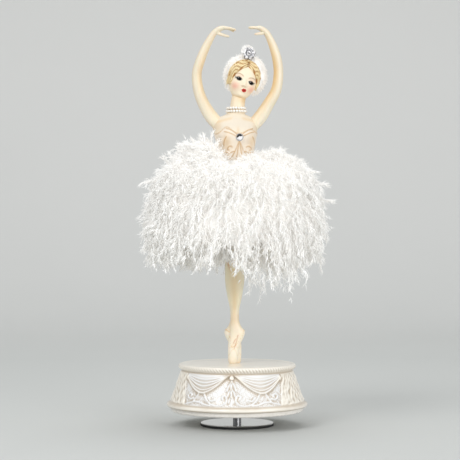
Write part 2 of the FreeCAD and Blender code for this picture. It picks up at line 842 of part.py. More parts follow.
def make_movement_frame():
    """Bedplate with bearing posts, comb seat and feet, and the screws that hold it to the cover."""
    blank = box("bedplate_blank", plate_right + dim.plate_left, plate_back + plate_front, dim.plate_thickness,
                -dim.plate_left, -plate_front, plate_bottom)
    reach = dim.seat_radius - dim.shell_wall - dim.plate_corner_room
    members = [overlap("bedplate", blank, cylinder("bedplate_reach", reach, dim.plate_thickness, up=plate_bottom))]
    post_top = axis_height + dim.post_top_margin
    half = dim.post_half_width
    for start in (inner_post, outer_post):
        members.append(bearing_post("cylinder_post", start, -half, half, post_top))
    near = dim.cylinder_radius + dim.pin_height + dim.side_clearance
    for start in (idler_post, idler_outer_post):
        members.append(bearing_post("idler_post", start, near, idler_along + half, post_top))
    members.append(box("comb_seat", comb_width, dim.comb_root_depth, comb_bottom - plate_bottom,
                       comb_start, -comb_back, plate_bottom))
    holes = []
    screws = []
    for across, along in plate_screw_places():
        members.append(cylinder("plate_foot", dim.plate_foot_radius, dim.plate_stand_off, across, along, shell_bottom))
        bore = dim.plate_screw_radius + dim.thread_clearance
        length = plate_top - cover_bottom
        holes.append(cylinder("plate_bore", bore, plate_top - shell_bottom, across, along, shell_bottom))
        screws.append(screw("plate_screw", across, along, cover_bottom, dim.plate_screw_radius, length,
                            dim.screw_head_radius, dim.screw_head_height))
    clear = dim.running_clearance
    holes.append(cylinder("shaft_bore", dim.shaft_radius + clear, dim.plate_thickness, up=plate_bottom))
    holes.append(cylinder("worm_bore", dim.worm_shaft_radius + clear, dim.plate_thickness,
                          wheel_middle, worm_along, plate_bottom))
    bore_length = plate_right - inner_post + THROUGH
    holes.append(cylinder("arbor_bore", dim.arbor_radius + clear, bore_length, inner_post - THROUGH / 2, 0.0,
                          axis_height, Z_ONTO_X))
    holes.append(cylinder("idler_bore", dim.idler_arbor_radius + clear, idler_end - idler_post + THROUGH,
                          idler_post - THROUGH / 2, idler_along, axis_height, Z_ONTO_X))
    for across, along in comb_screw_places():
        holes.append(cylinder("comb_screw_bore", dim.comb_screw_radius + dim.thread_clearance,
                              dim.comb_screw_grip, across, along, comb_bottom - dim.comb_screw_grip))
    for angle in HOUSING_POST_ANGLES:
        across, along = polar(dim.housing_post_circle, angle)
        holes.append(cylinder("housing_screw_bore", dim.housing_screw_radius + dim.thread_clearance,
                              dim.housing_screw_grip, across, along, plate_top - dim.housing_screw_grip))
    across, along = bracket_screw_place()
    holes.append(cylinder("bracket_screw_bore", dim.bracket_screw_radius + dim.thread_clearance,
                          dim.plate_thickness, across, along, plate_bottom))
    keep(drilled("frame", fused("frame_members", members), holes), "movement_frame")
    keep(grouped("plate_screw_group", screws), "movement_screws")


def make_spring_housing():
    """Inverted cup over the drive gear on three posts, its screws and the mainspring inside."""
    outer = dim.housing_radius
    inner = outer - dim.housing_wall
    lid = housing_top - dim.housing_wall
    hole = dim.shaft_radius + dim.running_clearance
    cup = revolved("housing_cup", [
        (inner, housing_bottom),
        (outer, housing_bottom),
        (outer, housing_top),
        (hole, housing_top),
        (hole, lid),
        (inner, lid),
    ])
    members = [cup]
    holes = []
    screws = []
    half = dim.housing_arm_width / 2
    for angle in HOUSING_POST_ANGLES:
        across, along = polar(dim.housing_post_circle, angle)
        corner = polar(inner, angle)
        side = polar(half, angle - RIGHT_ANGLE)
        arm = box("housing_arm", dim.housing_post_circle - inner, dim.housing_arm_width, dim.housing_wall)
        members.append(place(arm, corner[0] + side[0], corner[1] + side[1], lid, Rotation(UPRIGHT, angle)))
        members.append(cylinder("housing_post", dim.housing_post_radius, housing_top - plate_top,
                                across, along, plate_top))
        holes.append(cylinder("housing_bore", dim.housing_screw_radius + dim.thread_clearance,
                              housing_top - plate_top, across, along, plate_top))
        low = plate_top - dim.housing_screw_grip
        screws.append(screw("housing_screw", across, along, low, dim.housing_screw_radius, housing_top - low,
                            dim.housing_post_radius - dim.running_clearance, dim.screw_head_height, False))
    keep(drilled("housing", fused("housing_members", members), holes), "spring_housing")
    keep(grouped("housing_screw_group", screws), "housing_screws")

    strip = dim.spring_strip.value
    start = (dim.spring_core_radius + dim.spring_clearance).value
    half_pitch = dim.spring_pitch.value / 2
    inner_edge = half_turn_spiral(start, half_pitch)
    outer_edge = half_turn_spiral(start + strip, half_pitch)
    tips = [Part.makeLine(inner_edge[0].valueAt(inner_edge[0].FirstParameter),
                          outer_edge[0].valueAt(outer_edge[0].FirstParameter)),
            Part.makeLine(inner_edge[-1].valueAt(inner_edge[-1].LastParameter),
                          outer_edge[-1].valueAt(outer_edge[-1].LastParameter))]
    wire = Part.Wire(Part.__sortEdges__(inner_edge + outer_edge + tips))
    strip_solid = Part.Face(wire).extrude(Vector(0, 0, dim.spring_height.value))
    spring = shaped("spring_strip_wound", strip_solid, 0.0, 0.0, housing_bottom + dim.spring_clearance)
    keep(spring, "mainspring")


def half_turn_spiral(start, half_pitch):
    """Half circles on two centres in turn, so that the radius grows by half a pitch each half turn."""
    edges = []
    for index in range(int(dim.spring_half_turns.value)):
        upper = index % 2 == 0
        radius = start + half_pitch * (index + 0.5)
        middle = half_pitch / 2 if upper else -half_pitch / 2
        circle = Part.Circle(Vector(-middle, 0, 0), UPRIGHT, radius)
        begin = 0.0 if upper else math.pi
        edges.append(Part.ArcOfCircle(circle, begin, begin + math.pi).toShape())
    return edges


def comb_screw_places():
    along = -(comb_root + dim.comb_root_depth / 2)
    quarter = comb_width / 4
    return [(comb_start + quarter, along), (comb_start + quarter * 3.0, along)]


def make_comb():
    """Steel comb: a thick root and thin teeth parted by slots, with its two screws."""
    root = box("comb_root", comb_width, dim.comb_root_depth, dim.comb_root_thickness, comb_start, -comb_back,
               comb_bottom)
    leaf = box("comb_leaf", comb_width, dim.comb_tooth_length, dim.comb_tooth_thickness, comb_start, -comb_root,
               axis_height - dim.comb_tooth_thickness)
    cuts = []
    for index in range(1, int(dim.comb_teeth.value)):
        across = comb_start + dim.comb_pitch * index - dim.comb_slot / 2
        cuts.append(box("comb_gap", dim.comb_slot, dim.comb_tooth_length, dim.comb_tooth_thickness, across,
                        -comb_root, axis_height - dim.comb_tooth_thickness))
    screws = []
    for across, along in comb_screw_places():
        bore = dim.comb_screw_radius + dim.thread_clearance
        cuts.append(cylinder("comb_bore", bore, dim.comb_root_thickness, across, along, comb_bottom))
        low = comb_bottom - dim.comb_screw_grip
        screws.append(screw("comb_screw", across, along, low, dim.comb_screw_radius, axis_height - low,
                            dim.comb_screw_head_radius, dim.screw_head_height, False))
    keep(drilled("comb_cut", fused("comb_blank", [root, leaf]), cuts), "comb")
    keep(grouped("comb_screw_group", screws), "comb_screws")


def make_cylinder_train():
    """Pinned cylinder, its arbor, pinion and gear, all on one axis along X."""
    bore = dim.arbor_radius + dim.thread_clearance
    pinion = spur_gear("pinion", dim.drive_module, dim.pinion_teeth, dim.drive_face, bore, 0.0)
    keep(place(pinion, gear_inner, 0.0, axis_height, Z_ONTO_X), "cylinder_pinion")
    keep(cylinder("arbor", dim.arbor_radius, outer_post_end - gear_inner, gear_inner, 0.0, axis_height, Z_ONTO_X),
         "cylinder_arbor")
    inner = dim.cylinder_radius - dim.cylinder_shell
    low = dim.cylinder_end
    high = dim.cylinder_length - dim.cylinder_end
    barrel = revolved("barrel", [
        (bore, 0),
        (dim.cylinder_radius, 0),
        (dim.cylinder_radius, dim.cylinder_length),
        (bore, dim.cylinder_length),
    ])
    place(barrel, cylinder_start, 0.0, axis_height, Z_ONTO_X)
    hollow = ring("barrel_hollow", bore + dim.cylinder_shell, inner, low, high)
    place(hollow, cylinder_start, 0.0, axis_height, Z_ONTO_X)
    members = [drilled("barrel_tube", barrel, [hollow])]
    number = 0
    for track in range(int(dim.comb_teeth.value)):
        for _ in range(int(dim.pins_each_track.value)):
            across = comb_start + dim.comb_pitch * (track + 0.5)
            angle = GOLDEN_TURN * number
            side, rise = polar(inner + dim.cylinder_shell / 2, angle + RIGHT_ANGLE)
            members.append(cylinder("pin", dim.pin_radius, dim.cylinder_shell / 2 + dim.pin_height, across, side,
                                    axis_height + rise, Rotation(Vector(1, 0, 0), angle)))
            number += 1
    keep(fused("barrel_with_pins", members), "cylinder")
    gear = spur_gear("cylinder_wheel", dim.train_module, dim.cylinder_teeth, dim.cylinder_gear_width, bore,
                     RIGHT_ANGLE)
    keep(place(gear, gear_start, 0.0, axis_height, Z_ONTO_X), "cylinder_gear")


def make_idler():
    """Idler arbor with its pinion, and the worm wheel on the same arbor."""
    bore = dim.idler_arbor_radius + dim.thread_clearance
    keep(cylinder("idler_rod", dim.idler_arbor_radius, idler_end - idler_post, idler_post, idler_along,
                  axis_height, Z_ONTO_X), "idler_arbor")
    pinion = spur_gear("idler_leaf_pinion", dim.train_module, dim.idler_teeth, dim.idler_pinion_width, bore,
                       3 * RIGHT_ANGLE - 180.0 / dim.idler_teeth)
    keep(place(pinion, idler_start, idler_along, axis_height, Z_ONTO_X), "idler_pinion")
    wheel = spur_gear("governor_wheel", dim.train_module, dim.wheel_teeth, dim.wheel_width, bore, RIGHT_ANGLE)
    keep(place(wheel, wheel_start, idler_along, axis_height, Z_ONTO_X), "worm_wheel")


def bracket_screw_place():
    return wheel_middle, bracket_inner - (dim.bracket_foot_length - dim.bracket_thickness) / 2


def make_governor():
    """Upright worm, the fan that brakes it in the air, and the bracket over them."""
    root = dim.worm_pitch_radius - dim.train_module * dim.tooth_dedendum
    tip = dim.worm_pitch_radius + dim.train_module * dim.tooth_addendum
    low = -(axis_height - plate_bottom)
    high = arm_top - axis_height
    worm = revolved("worm_core", [
        (0, low),
        (dim.worm_shaft_radius, low),
        (dim.worm_shaft_radius, -worm_half_length),
        (root, -worm_half_length),
        (root, worm_half_length),
        (dim.worm_shaft_radius, worm_half_length),
        (dim.worm_shaft_radius, high),
        (0, high),
    ])
    inside = root - dim.train_module / 2
    half_root = worm_lead * dim.worm_root_share / 2
    half_tip = worm_lead * dim.worm_tip_share / 2
    thread_turns = dim.worm_turns - 1.0
    start = -(worm_lead * thread_turns / 2)
    sketch = outline(worm, "worm_thread_outline", "XZ_Plane", [
        (inside, start - half_root),
        (tip, start - half_tip),
        (tip, start + half_tip),
        (inside, start + half_root),
    ])
    thread = worm.newObject("PartDesign::AdditiveHelix", "worm_thread")
    thread.Profile = sketch
    thread.ReferenceAxis = (sketch, ["V_Axis"])
    thread.Mode = "pitch-turns-angle"
    bind(thread, "Pitch", worm_lead)
    bind(thread, "Turns", thread_turns)
    worm.Tip = thread
    phase = RIGHT_ANGLE - 180.0 * thread_turns
    place(worm, wheel_middle, worm_along, axis_height, Rotation(UPRIGHT, phase.value))
    bind(worm, "Placement.Rotation.Angle", phase)
    keep(worm, "worm_shaft")

    bore = dim.worm_shaft_radius + dim.thread_clearance
    hub = ring("fan_hub", bore, dim.fan_hub_radius, fan_bottom, fan_top)
    place(hub, wheel_middle, worm_along)
    reach = dim.fan_radius - dim.fan_hub_radius + dim.fan_blade / 2
    blades = [
        box("fan_blade_right", reach, dim.fan_blade, dim.fan_height, wheel_middle + dim.fan_radius - reach,
            worm_along - dim.fan_blade / 2, fan_bottom),
        box("fan_blade_left", reach, dim.fan_blade, dim.fan_height, wheel_middle - dim.fan_radius,
            worm_along - dim.fan_blade / 2, fan_bottom),
    ]
    keep(fused("fan_whole", [hub] + blades), "air_brake_fan")

    start = wheel_middle - dim.bracket_width / 2
    arm_front = worm_along - dim.bracket_width / 2
    members = [
        box("bracket_post", dim.bracket_width, dim.bracket_thickness, arm_top - plate_top, start, bracket_inner,
            plate_top),
        box("bracket_arm", dim.bracket_width, bracket_outer - arm_front, dim.bracket_arm, start, arm_front,
            arm_bottom),
        box("bracket_foot", dim.bracket_width, dim.bracket_foot_length, dim.bracket_arm, start,
            bracket_outer - dim.bracket_foot_length, plate_top),
    ]
    across, along = bracket_screw_place()
    screw_bore = dim.bracket_screw_radius + dim.thread_clearance
    holes = [
        cylinder("bracket_bearing", dim.worm_shaft_radius + dim.running_clearance, dim.bracket_arm, wheel_middle,
                 worm_along, arm_bottom),
        cylinder("bracket_bore", screw_bore, dim.bracket_arm, across, along, plate_top),
    ]
    keep(drilled("bracket", fused("bracket_members", members), holes), "governor_bracket")
    length = plate_top + dim.bracket_arm - plate_bottom
    keep(screw("bracket_fixing", across, along, plate_bottom, dim.bracket_screw_radius, length,
               dim.bracket_screw_head_radius, dim.bracket_screw_head_height, False), "bracket_screw")


def make_armature():
    """Steel rod up through the legs, with a washer and a nut under the base's top."""
    low = top_underside - dim.washer_thickness - dim.nut_height - dim.rod_end
    keep(cylinder("rod", dim.rod_radius, base_top + dim.rod_rise - low, figure_x, 0.0, low), "armature_rod")
    hole = dim.rod_radius + dim.thread_clearance
    washer = ring("washer", hole, dim.washer_radius, 0, dim.washer_thickness)
    keep(place(washer, figure_x, 0.0, top_underside - dim.washer_thickness), "rod_washer")
    nut = doc.addObject("Part::Prism", "nut_blank")
    nut.Polygon = 6
    bind(nut, "Circumradius", dim.nut_flats / math.sqrt(3))
    bind(nut, "Height", dim.nut_height)
    up = top_underside - dim.washer_thickness - dim.nut_height
    place(nut, figure_x, 0.0, up)
    keep(drilled("nut", nut, [cylinder("nut_bore", hole, dim.nut_height, figure_x, 0.0, up)]), "rod_nut")


def plume_notches(name, hem, lean):
    """Cutters that leave a row of feathers a zigzag hem of plume tips: square bars on edge, pointing outwards,
    with their upper edges one notch depth above the hem. The hem leans down to one side by the lean."""
    count = int(dim.plume_count.value)
    depth = dim.tutu_radius * math.pi / dim.plume_count
    side = depth * DIAGONAL * 2
    bars = []
    for index in range(count):
        angle = FULL_TURN * index / dim.plume_count
        across, along = polar(dim.tutu_shoulder_radius, angle)
        slope = polar(lean, angle - dim.hem_lean_turn)[0]
        turn = Rotation(UPRIGHT, angle.value) * Rotation(Vector(1, 0, 0), RIGHT_ANGLE / 2)
        low_edge = hem - slope + depth - side * DIAGONAL
        bars.append(box(name, dim.tutu_radius, side, side, across, along, low_edge, turn))
    return bars


def make_figure():
    """Legs, torso, arms and head, glued where they meet."""
    hip_height = dim.hip_height.value
    legs = []
    for side in (1.0, -1.0):
        sections = [(up, side * across, side * along, wide, deep) for up, across, along, wide, deep in FRONT_LEG]
        for below, across, wide, deep in THIGHS:
            sections.append((hip_height - below, side * across, 0.0, wide, deep))
        legs.append(shaped("leg_form", level_loft(sections), figure_x, 0.0, base_top))
    rod_hole = cylinder("leg_bore", dim.rod_radius + dim.running_clearance, dim.rod_rise + dim.rod_end,
                        figure_x, 0.0, base_top)
    keep(drilled("legs_bored", fused("legs_form", legs), [rod_hole]), "legs")

    torso_form = shaped("torso_form", level_loft(TORSO), up=hip)
    setting_outer = dim.crystal_radius + dim.setting_wall
    pocket = cylinder("setting_pocket", setting_outer + dim.thread_clearance, dim.setting_reach,
                      dim.crystal_shift, dim.setting_depth - dim.setting_reach, hip + dim.crystal_rise,
                      ROUND_BACK_TO_FRONT)
    keep(drilled("torso_pocketed", torso_form, [pocket]), "torso")

    for label, arm, thumb in (("arm_left", LEFT_ARM, LEFT_THUMB), ("arm_right", RIGHT_ARM, RIGHT_THUMB)):
        whole = fused(label + "_form", [shaped(label + "_limb", limb(arm), up=hip),
                                        shaped(label + "_thumb", limb(thumb), up=hip)])
        keep(drilled(label + "_cut", whole, [torso_form]), label)

    tilt = Rotation(Vector(0, 1, 0), dim.head_tilt.value)
    lean = math.radians(dim.head_tilt.value)
    crown = dim.head_shift + dim.hair_lift * math.sin(lean)
    face = ellipsoid("face", dim.face_half_width, dim.face_half_depth, dim.face_half_height, dim.head_shift, 0.0,
                     head_up, tilt)
    hair = ellipsoid("hair", dim.hair_half_width, dim.hair_half_depth, dim.hair_half_height, crown,
                     dim.hair_set_back, head_up + dim.hair_lift, tilt)
    head_form = fused("head_form", [face, hair])
    keep(drilled("head_cut", head_form, [torso_form]), "head")

    outer = ellipsoid("headdress_outer", dim.headdress_half_width, dim.headdress_half_depth,
                      dim.headdress_half_height, crown, dim.hair_set_back, head_up + dim.hair_lift, tilt)
    inner_hair = ellipsoid("headdress_inner", dim.hair_half_width + dim.glue_gap,
                           dim.hair_half_depth + dim.glue_gap, dim.hair_half_height + dim.glue_gap, crown,
                           dim.hair_set_back, head_up + dim.hair_lift, tilt)
    inner_face = ellipsoid("headdress_face", dim.face_half_width + dim.glue_gap,
                           dim.face_half_depth + dim.glue_gap, dim.face_half_height + dim.glue_gap,
                           dim.head_shift, 0.0, head_up, tilt)
    wide = CUT_SPAN * dim.headdress_half_width
    front = box("headdress_front_cut", wide, wide, wide, crown - wide / 2,
                -dim.headdress_front - wide, head_up - wide / 2)
    under = box("headdress_under_cut", wide, wide, wide, crown - wide / 2, -wide / 2,
                head_up - dim.headdress_drop - wide)
    headdress_form = drilled("headdress_cap", outer, [inner_hair, inner_face, front, under])
    tiara_up = head_up + dim.tiara_rise
    tiara_x = dim.head_shift + dim.tiara_shift
    pin_start = dim.tiara_pin_length - dim.headdress_front
    pin_hole = cylinder("tiara_pin_hole", dim.tiara_pin_radius + dim.thread_clearance, dim.tiara_pin_length,
                        tiara_x, pin_start, tiara_up - dim.tiara_pin_drop, ROUND_BACK_TO_FRONT)
    keep(drilled("headdress_bored", headdress_form, [pin_hole]), "headdress")
    make_tiara(tiara_x, tiara_up, pin_start, head_form)
    make_choker()
    make_crystal(setting_outer)
    make_tutu(torso_form)


def make_tiara(tiara_x, tiara_up, pin_start, head_form):
    """Openwork ornament on a pin in front of the headdress, with a ring of stones."""
    back = -dim.headdress_front
    disc = cylinder("tiara_disc", dim.tiara_radius, dim.tiara_thickness, tiara_x, back, tiara_up,
                    ROUND_BACK_TO_FRONT)
    pin = cylinder("tiara_pin", dim.tiara_pin_radius, dim.tiara_pin_length, tiara_x, pin_start,
                   tiara_up - dim.tiara_pin_drop, ROUND_BACK_TO_FRONT)
    stones = []
    seats = []
    count = int(dim.tiara_stone_count.value)
    circle = dim.tiara_radius - dim.tiara_stone_radius
    face = back - dim.tiara_thickness
    for index in range(count):
        across, rise = polar(circle, FULL_TURN * index / dim.tiara_stone_count)
        stones.append(sphere("tiara_stone", dim.tiara_stone_radius, tiara_x + across, face, tiara_up + rise))
        seats.append(sphere("tiara_seat", dim.tiara_stone_radius + dim.thread_clearance, tiara_x + across, face,
                            tiara_up + rise))
    keep(drilled("tiara_plate", fused("tiara_form", [disc, pin]), seats + [head_form]), "tiara")
    keep(grouped("tiara_stone_group", stones), "tiara_stones")


def make_choker():
    """Two rows of pearls round the neck."""
    pearls = []
    step = 2 * dim.pearl_radius.value + dim.pearl_gap.value
    count = int(2 * math.pi * dim.choker_radius.value / step)
    for row in range(2):
        for index in range(count):
            across, along = polar(dim.choker_radius, FULL_TURN * (index + row / 2) / count)
            pearls.append(sphere("pearl", dim.pearl_radius, across - dim.choker_shift, along,
                                 hip + dim.choker_rise + dim.choker_row_step * row))
    keep(grouped("pearl_group", pearls), "pearl_choker")


def make_crystal(setting_outer):
    """Round crystal in a metal cup let into the bodice."""
    up = hip + dim.crystal_rise
    back = dim.setting_depth - dim.setting_reach
    rim = dim.setting_depth
    cup = revolved("setting_cup", [
        (0, 0),
        (setting_outer, 0),
        (setting_outer, rim),
        (dim.crystal_radius + dim.thread_clearance, rim),
        (dim.crystal_radius + dim.thread_clearance, dim.setting_floor),
        (0, dim.setting_floor),
    ])
    keep(place(cup, dim.crystal_shift, back, up, ROUND_BACK_TO_FRONT), "crystal_setting")
    stone = revolved("crystal_stone", [
        (0, dim.setting_floor),
        (dim.crystal_radius, dim.setting_floor),
        (dim.crystal_radius, rim),
        (dim.crystal_radius / 2, rim + dim.crystal_crown),
        (0, rim + dim.crystal_crown),
    ])
    keep(place(stone, dim.crystal_shift, back, up, ROUND_BACK_TO_FRONT), "bodice_crystal")


def make_tutu(torso_form):
    """Waistband and two rows of feather fringe that hang from it as nested bells."""
    band_bottom = hip + dim.band_rise
    band_top = band_bottom + dim.band_height
    band = cylinder("band_blank", dim.band_radius, dim.band_height, up=band_bottom)
    keep(drilled("band", band, [torso_form]), "waist_band")

    crown = band_top + dim.tutu_crown_lift
    bend = dim.tutu_radius - dim.tutu_shoulder_radius
    bend_bottom = crown - bend
    thick = dim.upper_row_thickness
    upper_end = crown - dim.upper_row_drop
    split = band_top - dim.upper_row_share
    upper = revolved("upper_row", [
        (dim.band_radius, band_top),
        (dim.band_radius, split),
        (dim.tutu_shoulder_radius, crown - thick),
        (dim.tutu_radius - thick, bend_bottom, thick - bend),
        (dim.tutu_radius - thick, upper_end),
        (dim.tutu_radius, upper_end),
        (dim.tutu_radius, bend_bottom),
        (dim.tutu_shoulder_radius, crown, bend),
    ])
    keep(drilled("upper_plumes", upper, plume_notches("upper_notch", upper_end, 0.0)), "feather_row_upper")

    outside = thick + dim.row_gap
    inside = outside + dim.lower_row_thickness
    hem = crown - dim.lower_row_drop
    outer_radius = dim.tutu_radius - outside
    lower = revolved("lower_row", [
        (dim.band_radius, split - dim.row_gap),
        (dim.band_radius, band_bottom),
        (dim.tutu_shoulder_radius, crown - inside),
        (dim.tutu_radius - inside, bend_bottom, inside - bend),
        (dim.tutu_radius - inside - dim.lower_row_tuck, hem),
        (outer_radius - dim.lower_row_tuck, hem),
        (outer_radius + dim.lower_row_flare, upper_end - dim.lower_row_flare_drop),
        (outer_radius, upper_end),
        (outer_radius, bend_bottom),
        (dim.tutu_shoulder_radius, crown - outside, bend - outside),
    ])
    hem_middle = hem + dim.hem_lean
    lean_angle = math.degrees(math.atan2(dim.hem_lean.value, dim.tutu_radius.value))
    lean = Rotation(UPRIGHT, dim.hem_lean_turn.value) * Rotation(Vector(0, 1, 0), HALF_TURN + lean_angle)
    under = cylinder("hem_cut", CUT_SPAN * dim.tutu_radius, dim.tutu_radius, up=hem_middle, turn=lean)
    notches = plume_notches("lower_notch", hem_middle, dim.hem_lean)
    keep(drilled("lower_plumes", lower, [under] + notches), "feather_row_lower")


make_foot()
make_shaft_and_drive_gear()
make_base()
make_movement_frame()
make_spring_housing()
make_comb()
make_cylinder_train()
make_idler()
make_governor()
make_armature()
make_figure()
doc.recompute()

faults = [obj.Name for obj in doc.Objects if "Invalid" in obj.State or "Error" in obj.State]
for obj in subparts:
    if obj.Shape.isNull() or not obj.Shape.isValid() or not obj.Shape.Solids:
        faults.append(obj.Label)
if faults:
    raise RuntimeError("not built: " + ", ".join(faults))

os.makedirs("parts", exist_ok=True)
for obj in subparts:
    obj.Shape.exportStep(f"parts/{obj.Label}.step")
    print(f"{obj.Label}: {len(obj.Shape.Solids)} solids, {obj.Shape.Volume:.1f} mm3")
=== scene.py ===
import json

import bpy
import numpy as np
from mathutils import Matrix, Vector
from numpy import clip, concatenate, cos, linspace, maximum, pi, radians, sin


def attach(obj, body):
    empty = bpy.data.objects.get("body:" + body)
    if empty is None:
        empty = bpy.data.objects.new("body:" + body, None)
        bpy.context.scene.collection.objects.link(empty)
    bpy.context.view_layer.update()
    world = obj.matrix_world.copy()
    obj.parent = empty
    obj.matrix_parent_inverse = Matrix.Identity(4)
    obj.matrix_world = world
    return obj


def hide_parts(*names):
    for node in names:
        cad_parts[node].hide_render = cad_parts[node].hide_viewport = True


# Turning ballerina figurine. Shapes are worked out in millimetres in the part's frame; put() turns them into metres.
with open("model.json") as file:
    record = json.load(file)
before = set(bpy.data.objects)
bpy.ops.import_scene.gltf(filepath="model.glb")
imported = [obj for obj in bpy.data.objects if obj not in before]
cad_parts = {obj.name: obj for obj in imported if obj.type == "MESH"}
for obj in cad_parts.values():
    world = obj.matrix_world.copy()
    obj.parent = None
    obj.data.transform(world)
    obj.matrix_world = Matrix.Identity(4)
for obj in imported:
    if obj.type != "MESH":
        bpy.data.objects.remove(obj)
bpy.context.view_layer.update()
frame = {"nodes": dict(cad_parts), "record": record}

MM = 0.001
TURN = 2 * pi
WHITE = (1, 1, 1, 1)
FIGURE_X = -1.7
BASE_TOP = 43.5
HIP = 160
HEAD = np.array([4.2, 0, 241.4])
chance = np.random.default_rng(11)
normal, uniform = chance.normal, chance.uniform


# Meshes

def grid_quads(rows, columns, closed, looped=False):
    """Quads of a grid; closed joins its last column to the first, looped its last row to the first."""
    steps = columns if closed else columns - 1
    row, column = np.meshgrid(np.arange(rows if looped else rows - 1), np.arange(steps), indexing="ij")
    after = (column + 1) % columns
    low, high = row * columns, (row + 1) % rows * columns
    return np.stack([low + column, low + after, high + after, high + column], -1).reshape(-1, 4)


def shape(points, quads, triangles=None, paint=WHITE):
    """A surface as plain arrays: points, quads, triangles and a colour for all or at each point."""
    triangles = np.zeros((0, 3), int) if triangles is None else triangles
    return points, quads, triangles, np.broadcast_to(paint, (len(points), 4))


def tubes(rings, start, end, paint=WHITE):
    """Closed tubes: rings of points (tube, ring, side) joined in order, each end drawn to its own pole point."""
    count, rows, sides, _ = rings.shape
    size = rows * sides + 2
    points = concatenate([rings.reshape(count, -1, 3), start[:, None], end[:, None]], 1)
    paint = np.broadcast_to(paint, (count, rows, sides, 4)).reshape(count, -1, 4)
    paint = concatenate([paint, paint[:, :1], paint[:, -1:]], 1)
    side = np.arange(sides)
    after = (side + 1) % sides
    last = (rows - 1) * sides
    first_cap = np.stack([np.full(sides, size - 2), after, side], -1)
    last_cap = np.stack([np.full(sides, size - 1), last + side, last + after], -1)
    offset = (np.arange(count) * size)[:, None, None]
    quads = (grid_quads(rows, sides, True) + offset).reshape(-1, 4)
    triangles = (concatenate([first_cap, last_cap]) + offset).reshape(-1, 3)
    return shape(points.reshape(-1, 3), quads, triangles, paint.reshape(-1, 4))


def shell(outer, inner, paint=WHITE):
    """Two grids of points, closed round and joined along both edges."""
    rings = concatenate([outer, inner[::-1]])
    return shape(rings.reshape(-1, 3), grid_quads(len(rings), rings.shape[1], True, True), None, paint)


def solid(rings, start=None, end=None, paint=WHITE):
    """One closed tube, coloured all over or at each ring point; its poles are its end rings' middles if not given."""
    start = rings[0].mean(0) if start is None else start
    end = rings[-1].mean(0) if end is None else end
    return tubes(rings[None], np.array([start]), np.array([end]), paint)


def add(name, data):
    """A new object in the scene."""
    item = bpy.data.objects.new(name, data)
    bpy.context.scene.collection.objects.link(item)
    return item


def put(name, shapes, finish, stands_for=(), body="figurine", smooth=True):
    """Joins shapes into one piece with a finish, which rides on a body and stands for the named nodes."""
    points, quads, triangles, paint = zip(*shapes)
    starts = np.cumsum([0, *map(len, points)])
    quads, triangles = (
        concatenate([faces + start for faces, start in zip(kind, starts)]) for kind in (quads, triangles)
    )
    points, paint = concatenate(points), concatenate(paint)
    corners = concatenate([quads.ravel(), triangles.ravel()])
    counts = concatenate([np.full(len(quads), 4), np.full(len(triangles), 3)])
    mesh = bpy.data.meshes.new(name)
    mesh.vertices.add(len(points))
    mesh.vertices.foreach_set("co", (points * MM).astype(np.float32).ravel())
    mesh.loops.add(len(corners))
    mesh.loops.foreach_set("vertex_index", corners.astype(np.int32))
    mesh.polygons.add(len(counts))
    mesh.polygons.foreach_set("loop_start", (np.cumsum(counts) - counts).astype(np.int32))
    mesh.update(calc_edges=True)
    mesh.polygons.foreach_set("use_smooth", np.full(len(counts), smooth))
    colours = mesh.attributes.new("paint", "FLOAT_COLOR", "POINT")
    colours.data.foreach_set("color", paint.astype(np.float32).ravel())
    mesh.materials.append(finish)
    piece = add(name, mesh)
    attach(piece, body)
    if stands_for:
        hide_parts(*stands_for)
    return piece


# Shared formulas

def round_steps(count):
    """Even turns once round a circle."""
    return linspace(0, TURN, count, endpoint=False)


def xyz(x, y, z):
    """Points from their three coordinates, spread over one grid."""
    return np.stack(np.broadcast_arrays(x, y, z), -1)


def smooth_line(stops, count):
    """Catmull-Rom curve through the stops, read at even steps from the first to the last."""
    stops = np.asarray(stops, float)
    held = concatenate([[2 * stops[0] - stops[1]], stops, [2 * stops[-1] - stops[-2]]])
    share = linspace(0, len(stops) - 1, count)
    piece = np.minimum(share.astype(int), len(stops) - 2)
    f = (share - piece)[:, None]
    a, b, c, d = (held[piece + step] for step in range(4))
    return b + 0.5 * f * (c - a + f * (2 * a - 5 * b + 4 * c - d + f * (3 * (b - c) + d - a)))


def turned(across, up, angle):
    """Two coordinates turned by an angle, the second towards the first."""
    return across * cos(angle) + up * sin(angle), up * cos(angle) - across * sin(angle)


def unit(vectors):
    """Vectors brought to length one."""
    return vectors / maximum(np.linalg.norm(vectors, axis=-1, keepdims=True), 1e-9)


def ease(low, high, value):
    """Smooth step from 0 at low to 1 at high."""
    t = clip((value - low) / (high - low), 0, 1)
    return t * t * (3 - 2 * t)


def mound(value, middle, width):
    """Bell curve of height one."""
    return np.exp(-((value - middle) / width) ** 2)


def mix(under, over, share):
    """Colours blended by a share from 0 to 1."""
    share = np.asarray(share)[..., None]
    return under * (1 - share) + over * share


def coats(paint, *layers):
    """Colours laid over a paint one after another, each with its share."""
    for over, share in layers:
        paint = mix(paint, over, share)
    return paint


def colour(red, green, blue):
    """Linear colour of a reading from 0 to 255."""
    value = np.array([red, green, blue]) / 255
    return np.append(np.where(value > 0.04045, ((value + 0.055) / 1.055) ** 2.4, value / 12.92), 1)


def near_line(across, up, stops, count=60):
    """Distance from each point of a flat drawing to a smooth line through the stops."""
    nearest = np.full(across.shape, 1e9)
    for x, z in smooth_line(stops, count):
        nearest = np.minimum(nearest, (across - x) ** 2 + (up - z) ** 2)
    return np.sqrt(nearest)


def circle(side, fore, sides):
    """Rings of points about each place of a path, from its side and fore directions."""
    angle = round_steps(sides)[:, None]
    return side[..., None, :] * cos(angle) + fore[..., None, :] * sin(angle)


